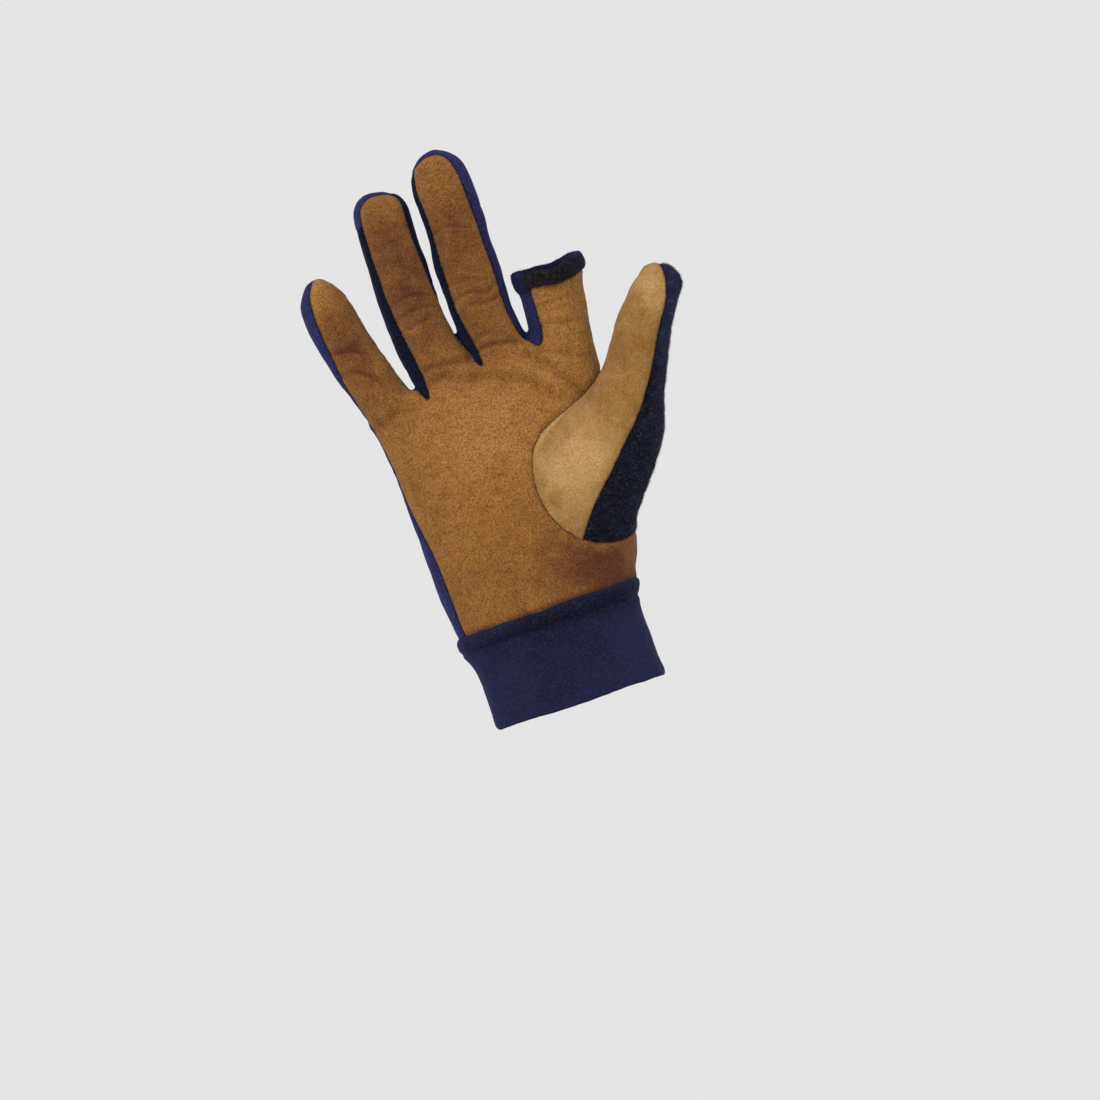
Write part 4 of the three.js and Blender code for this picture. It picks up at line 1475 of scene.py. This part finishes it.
@dataclass(frozen=True)
class FleeceFinish:
    """Short-pile fleece or knit: dark, with fine lighter fibres.

    Attributes:
        name: The material's name.
        dark: Its darkest colour.
        middle: Its middle colour.
        light: The fibres' colour.
        fuzz: How rough the surface is.
        by_tone: Whether the painted tone, which holds painted light and shade on the cuff, makes it lighter and darker.
        seamed: Whether painted shade darkens it in the seams' valleys.
    """

    name: str
    dark: Colour
    middle: Colour
    light: Colour
    fuzz: float = 0.5
    by_tone: bool = False
    seamed: bool = False

    def material(self) -> Material:
        """Builds the material."""
        nodes = NodeTree(self.name)
        broad, fibre = nodes.noise(80, 3, 0.6), nodes.noise(1000, 4, 0.75)
        if self.by_tone:
            broad = nodes.sum_of(nodes.attribute("tone"), broad, 0.5, -0.25)
        colour = nodes.ramp(broad, (0.2, linear(self.dark)), (0.8, linear(self.middle)))
        colour = nodes.mix(nodes.ramp(fibre, (0.46, (0, 0, 0)), (0.78, WHITE)), colour, linear(self.light))
        if self.seamed:
            # Painted shade in the seams' valleys.
            groove_shade = nodes.ramp(nodes.attribute("seam"), (0.1, (0.3, 0.3, 0.32)), (0.8, WHITE))
            colour = nodes.mix(0.9, colour, groove_shade, "MULTIPLY")
        nodes.settle(
            Base_Color=colour,
            Normal=nodes.bump(fibre, 0.0012 * self.fuzz),
            Roughness=0.95,
            Specular_IOR_Level=0.1,
            Sheen_Weight=0.1,
            Sheen_Roughness=0.35,
            Sheen_Tint=(0.3, 0.34, 0.85, 1),
        )
        return nodes.material


@dataclass(frozen=True)
class ThreadFinish:
    """Matte sewing thread or fibre of one colour with a little variation."""

    name: str
    tone: Colour

    def material(self) -> Material:
        """Builds the material."""
        nodes = NodeTree(self.name)
        dark = tuple(int(v * 0.55) for v in self.tone)
        light = tuple(min(255, int(v * 1.4)) for v in self.tone)
        stops = (0.35, linear(dark)), (0.5, linear(self.tone)), (0.65, linear(light))
        nodes.settle(Base_Color=nodes.ramp(nodes.noise(260, 2), *stops), Roughness=0.8, Specular_IOR_Level=0.2)
        return nodes.material


@dataclass(frozen=True)
class StageFinish:
    """The pale floor and backdrop, which glow a little so that they stay even."""

    name: str = "pale_paper"
    tone: int = 238
    glow: float = 0.12

    def material(self) -> Material:
        """Builds the material."""
        nodes = NodeTree(self.name)
        nodes.settle(
            Base_Color=(*linear((self.tone,) * 3), 1),
            Roughness=1.0,
            Specular_IOR_Level=0.0,
            Emission_Color=(1, 1, 1, 1),
            Emission_Strength=self.glow,
        )
        return nodes.material


# ---- studio


@dataclass
class Studio:
    """A pale sweep, soft lights and a long lens at the photograph's angle.

    Attributes:
        roll: How far the glove leans to the left, in degrees.
        centre: The point in the picture's middle, across and up.
        distance: The camera's distance in metres.
        frame_width: The picture's width at the glove, in metres.
        floor: The floor's height in metres.
        sweep_size: The sweep's width and its length along the curve.
        front: Where the sweep starts.
        flat: How long it runs level.
        bend: The radius of its curve.
    """

    roll: float = 18.5
    centre: tuple[float, float] = (8.6, 63.3)
    distance: float = 6.0
    frame_width: float = 0.451
    floor: float = -7.0
    sweep_size: tuple[float, float] = (44.0, 52.0)
    front: float = -20.0
    flat: float = 29.0
    bend: float = 3.0

    def sweep(self, finish: Material) -> None:
        """Builds the floor and the backdrop as one curved sheet, beyond every place of the camera."""
        deselect_all()
        bpy.ops.mesh.primitive_grid_add(x_subdivisions=1, y_subdivisions=96, size=1)
        sheet = bpy.context.object
        sheet.name = "sweep"
        share = coordinates(sheet) * MM
        s = (share[:, 1] + 0.5) * self.sweep_size[1]
        turn = np.clip((s - self.flat) / self.bend, 0, math.pi / 2)
        y = self.front + np.minimum(s, self.flat) + self.bend * np.sin(turn)
        upright = np.maximum(s - self.flat - self.bend * math.pi / 2, 0)
        z = self.floor + self.bend * (1 - np.cos(turn)) + upright
        place(sheet, np.stack([share[:, 0] * self.sweep_size[0], y, z], axis=1) / MM)
        sheet.data.shade_smooth()
        sheet.data.materials.append(finish)

    def light(self, name: str, spot: tuple[float, float, float], size: float, watts: float) -> None:
        """Adds a square soft light that looks at the glove."""
        data = bpy.data.lights.new(name, "AREA")
        data.size = size
        data.energy = watts
        lamp = bpy.data.objects.new(name, data)
        lamp.location = spot
        lamp.rotation_euler = (Vector((0.0, 0, 0.1)) - Vector(spot)).to_track_quat("-Z", "Y").to_euler()
        bpy.context.scene.collection.objects.link(lamp)

    def camera(self) -> None:
        """Adds the camera, rolled so that the glove leans to the left."""
        data = bpy.data.cameras.new("camera")
        data.sensor_width = 36
        data.lens = 36 * self.distance / self.frame_width
        camera = bpy.data.objects.new("camera", data)
        camera.location = (self.centre[0] * MM, -self.distance, self.centre[1] * MM)
        camera.rotation_euler = (math.pi / 2, math.radians(self.roll), 0)
        bpy.context.scene.collection.objects.link(camera)
        bpy.context.scene.camera = camera

    def build(self) -> None:
        """Builds the whole studio."""
        self.sweep(StageFinish().material())
        self.light("key", (-0.9, -1.3, 1.3), 1.2, 22)
        self.light("fill", (1.3, -1.4, 0.5), 1.4, 10)
        self.camera()
        scene = bpy.context.scene
        world = bpy.data.worlds.new("soft_room")
        world.use_nodes = True
        room = world.node_tree.nodes["Background"].inputs
        room["Color"].default_value, room["Strength"].default_value = (1, 1, 1, 1), 0.75
        scene.world = world
        scene.view_settings.view_transform = "Standard"


def sew(skin: Skin) -> None:
    """Sews the seams of the hand, with tan thread on the suede and dark thread at the fleece."""
    tan = ThreadFinish("tan_thread", (112, 78, 44)).material()
    dark = ThreadFinish("dark_thread", (52, 40, 34)).material()
    edges = [(Panel.PALM, Panel.BACK)] + [(Panel.PALM, fork) for fork in FORKS]
    Stitching().build(skin, edges, "palm_stitches", "palm_suede", dark)
    Stitching(2.2, 1.3, 0.14).build(skin, [(Panel.THUMB_FRONT, Panel.PALM)], "thumb_base_stitches", "palm_suede", tan)
    rest = [(Panel.THUMB_FRONT, Panel.THUMB_BACK), (Panel.THUMB_BACK, Panel.PALM), (Panel.THUMB_BACK, Panel.BACK)]
    Stitching().build(skin, rest, "thumb_side_stitches", "thumb_fleece", dark)
    Stitching(3.0, 2.0, 0.14).build(skin, [(Panel.BACK, fork) for fork in FORKS], "back_stitches", "back_fleece", dark)


def fur(skin: Skin, cuff: Piece, band: Piece, roll: Piece) -> None:
    """Grows the pile of the fleece pieces."""
    grey = ThreadFinish("grey_pile", (66, 69, 94)).material()
    black = ThreadFinish("black_pile", (16, 16, 22)).material()
    navy = ThreadFinish("navy_pile", (48, 50, 92)).material()
    points, faces, _ = skin.panel(Panel.THUMB_BACK)
    Pile(9000, 1.7, width=0.13).build(points, faces, "thumb_pile_dark", "thumb_fleece", black)
    Pile(6500, 1.8, rise=0.3, width=0.15, seed=9).build(points, faces, "thumb_pile_light", "thumb_fleece", grey)
    Pile(1500, 1.0, rise=0.9, seed=5).build(*triangles_of(band), "band_pile", "band_fleece", black)
    Pile(900, 1.0, rise=0.9, seed=6).build(*triangles_of(roll), "hem_pile", "hem_fleece", navy)
    Pile(5000, 0.5, rise=0.7, width=0.07, seed=7).build(*triangles_of(cuff), "cuff_pile", "cuff_fleece", navy)
    points, faces, _ = skin.panel(Panel.BACK)
    Pile(9000, 0.5, rise=0.7, width=0.07, seed=8).build(points, faces, "back_pile", "back_fleece", navy)


def main() -> None:
    """Builds the glove and its studio."""
    logging.basicConfig(level=logging.INFO, format="%(name)s: %(message)s")
    palm = SuedeFinish("palm_suede", (86, 44, 24), (136, 91, 42), (168, 120, 61)).material()
    thumb = SuedeFinish("thumb_suede", (110, 72, 36), (137, 96, 42), (180, 141, 90), 0.5).material()
    back = FleeceFinish("back_fleece", (26, 27, 58), (42, 43, 86), (64, 66, 112), seamed=True).material()
    cuff = FleeceFinish("cuff_fleece", (15, 15, 28), (29, 30, 58), (44, 46, 80), 0.35, True).material()
    # The fourchettes share one fleece in two copies: a darker one, painted shade between the fingers, and a lighter
    # one, painted light, on the fourchette between middle and index.
    fork = FleeceFinish("fourchette_fleece", (8, 9, 19), (15, 16, 34), (30, 32, 58), seamed=True).material()
    lit_tones = (22, 23, 50), (36, 37, 74), (56, 58, 100)
    # The lighter copy of the fourchette fleece, painted light.
    fork_lit = FleeceFinish("fourchette_fleece_lit", *lit_tones, seamed=True).material()
    fuzzy = FleeceFinish("thumb_fleece", (7, 7, 10), (36, 37, 68), (42, 44, 62), 0.9, True, True).material()
    band = FleeceFinish("band_fleece", (11, 10, 11), (20, 18, 19), (66, 60, 62), 0.9).material()
    hem = FleeceFinish("hem_fleece", (14, 15, 34), (24, 25, 52), (44, 46, 84), 0.9).material()
    finishes = {
        Panel.PALM: palm,
        Panel.BACK: back,
        Panel.FORK_LITTLE_RING: fork,
        Panel.FORK_RING_MIDDLE: fork,
        Panel.FORK_MIDDLE_INDEX: fork_lit,
        Panel.THUMB_FRONT: thumb,
        Panel.THUMB_BACK: fuzzy,
    }
    shell = Shell()
    shell.build(finishes)
    cuff_piece = Cuff().build(cuff)
    band_piece, roll_piece = IndexHem().build(band, hem)
    sew(shell.skin)
    fur(shell.skin, cuff_piece, band_piece, roll_piece)
    Studio().build()


if __name__ == "__main__":
    main()
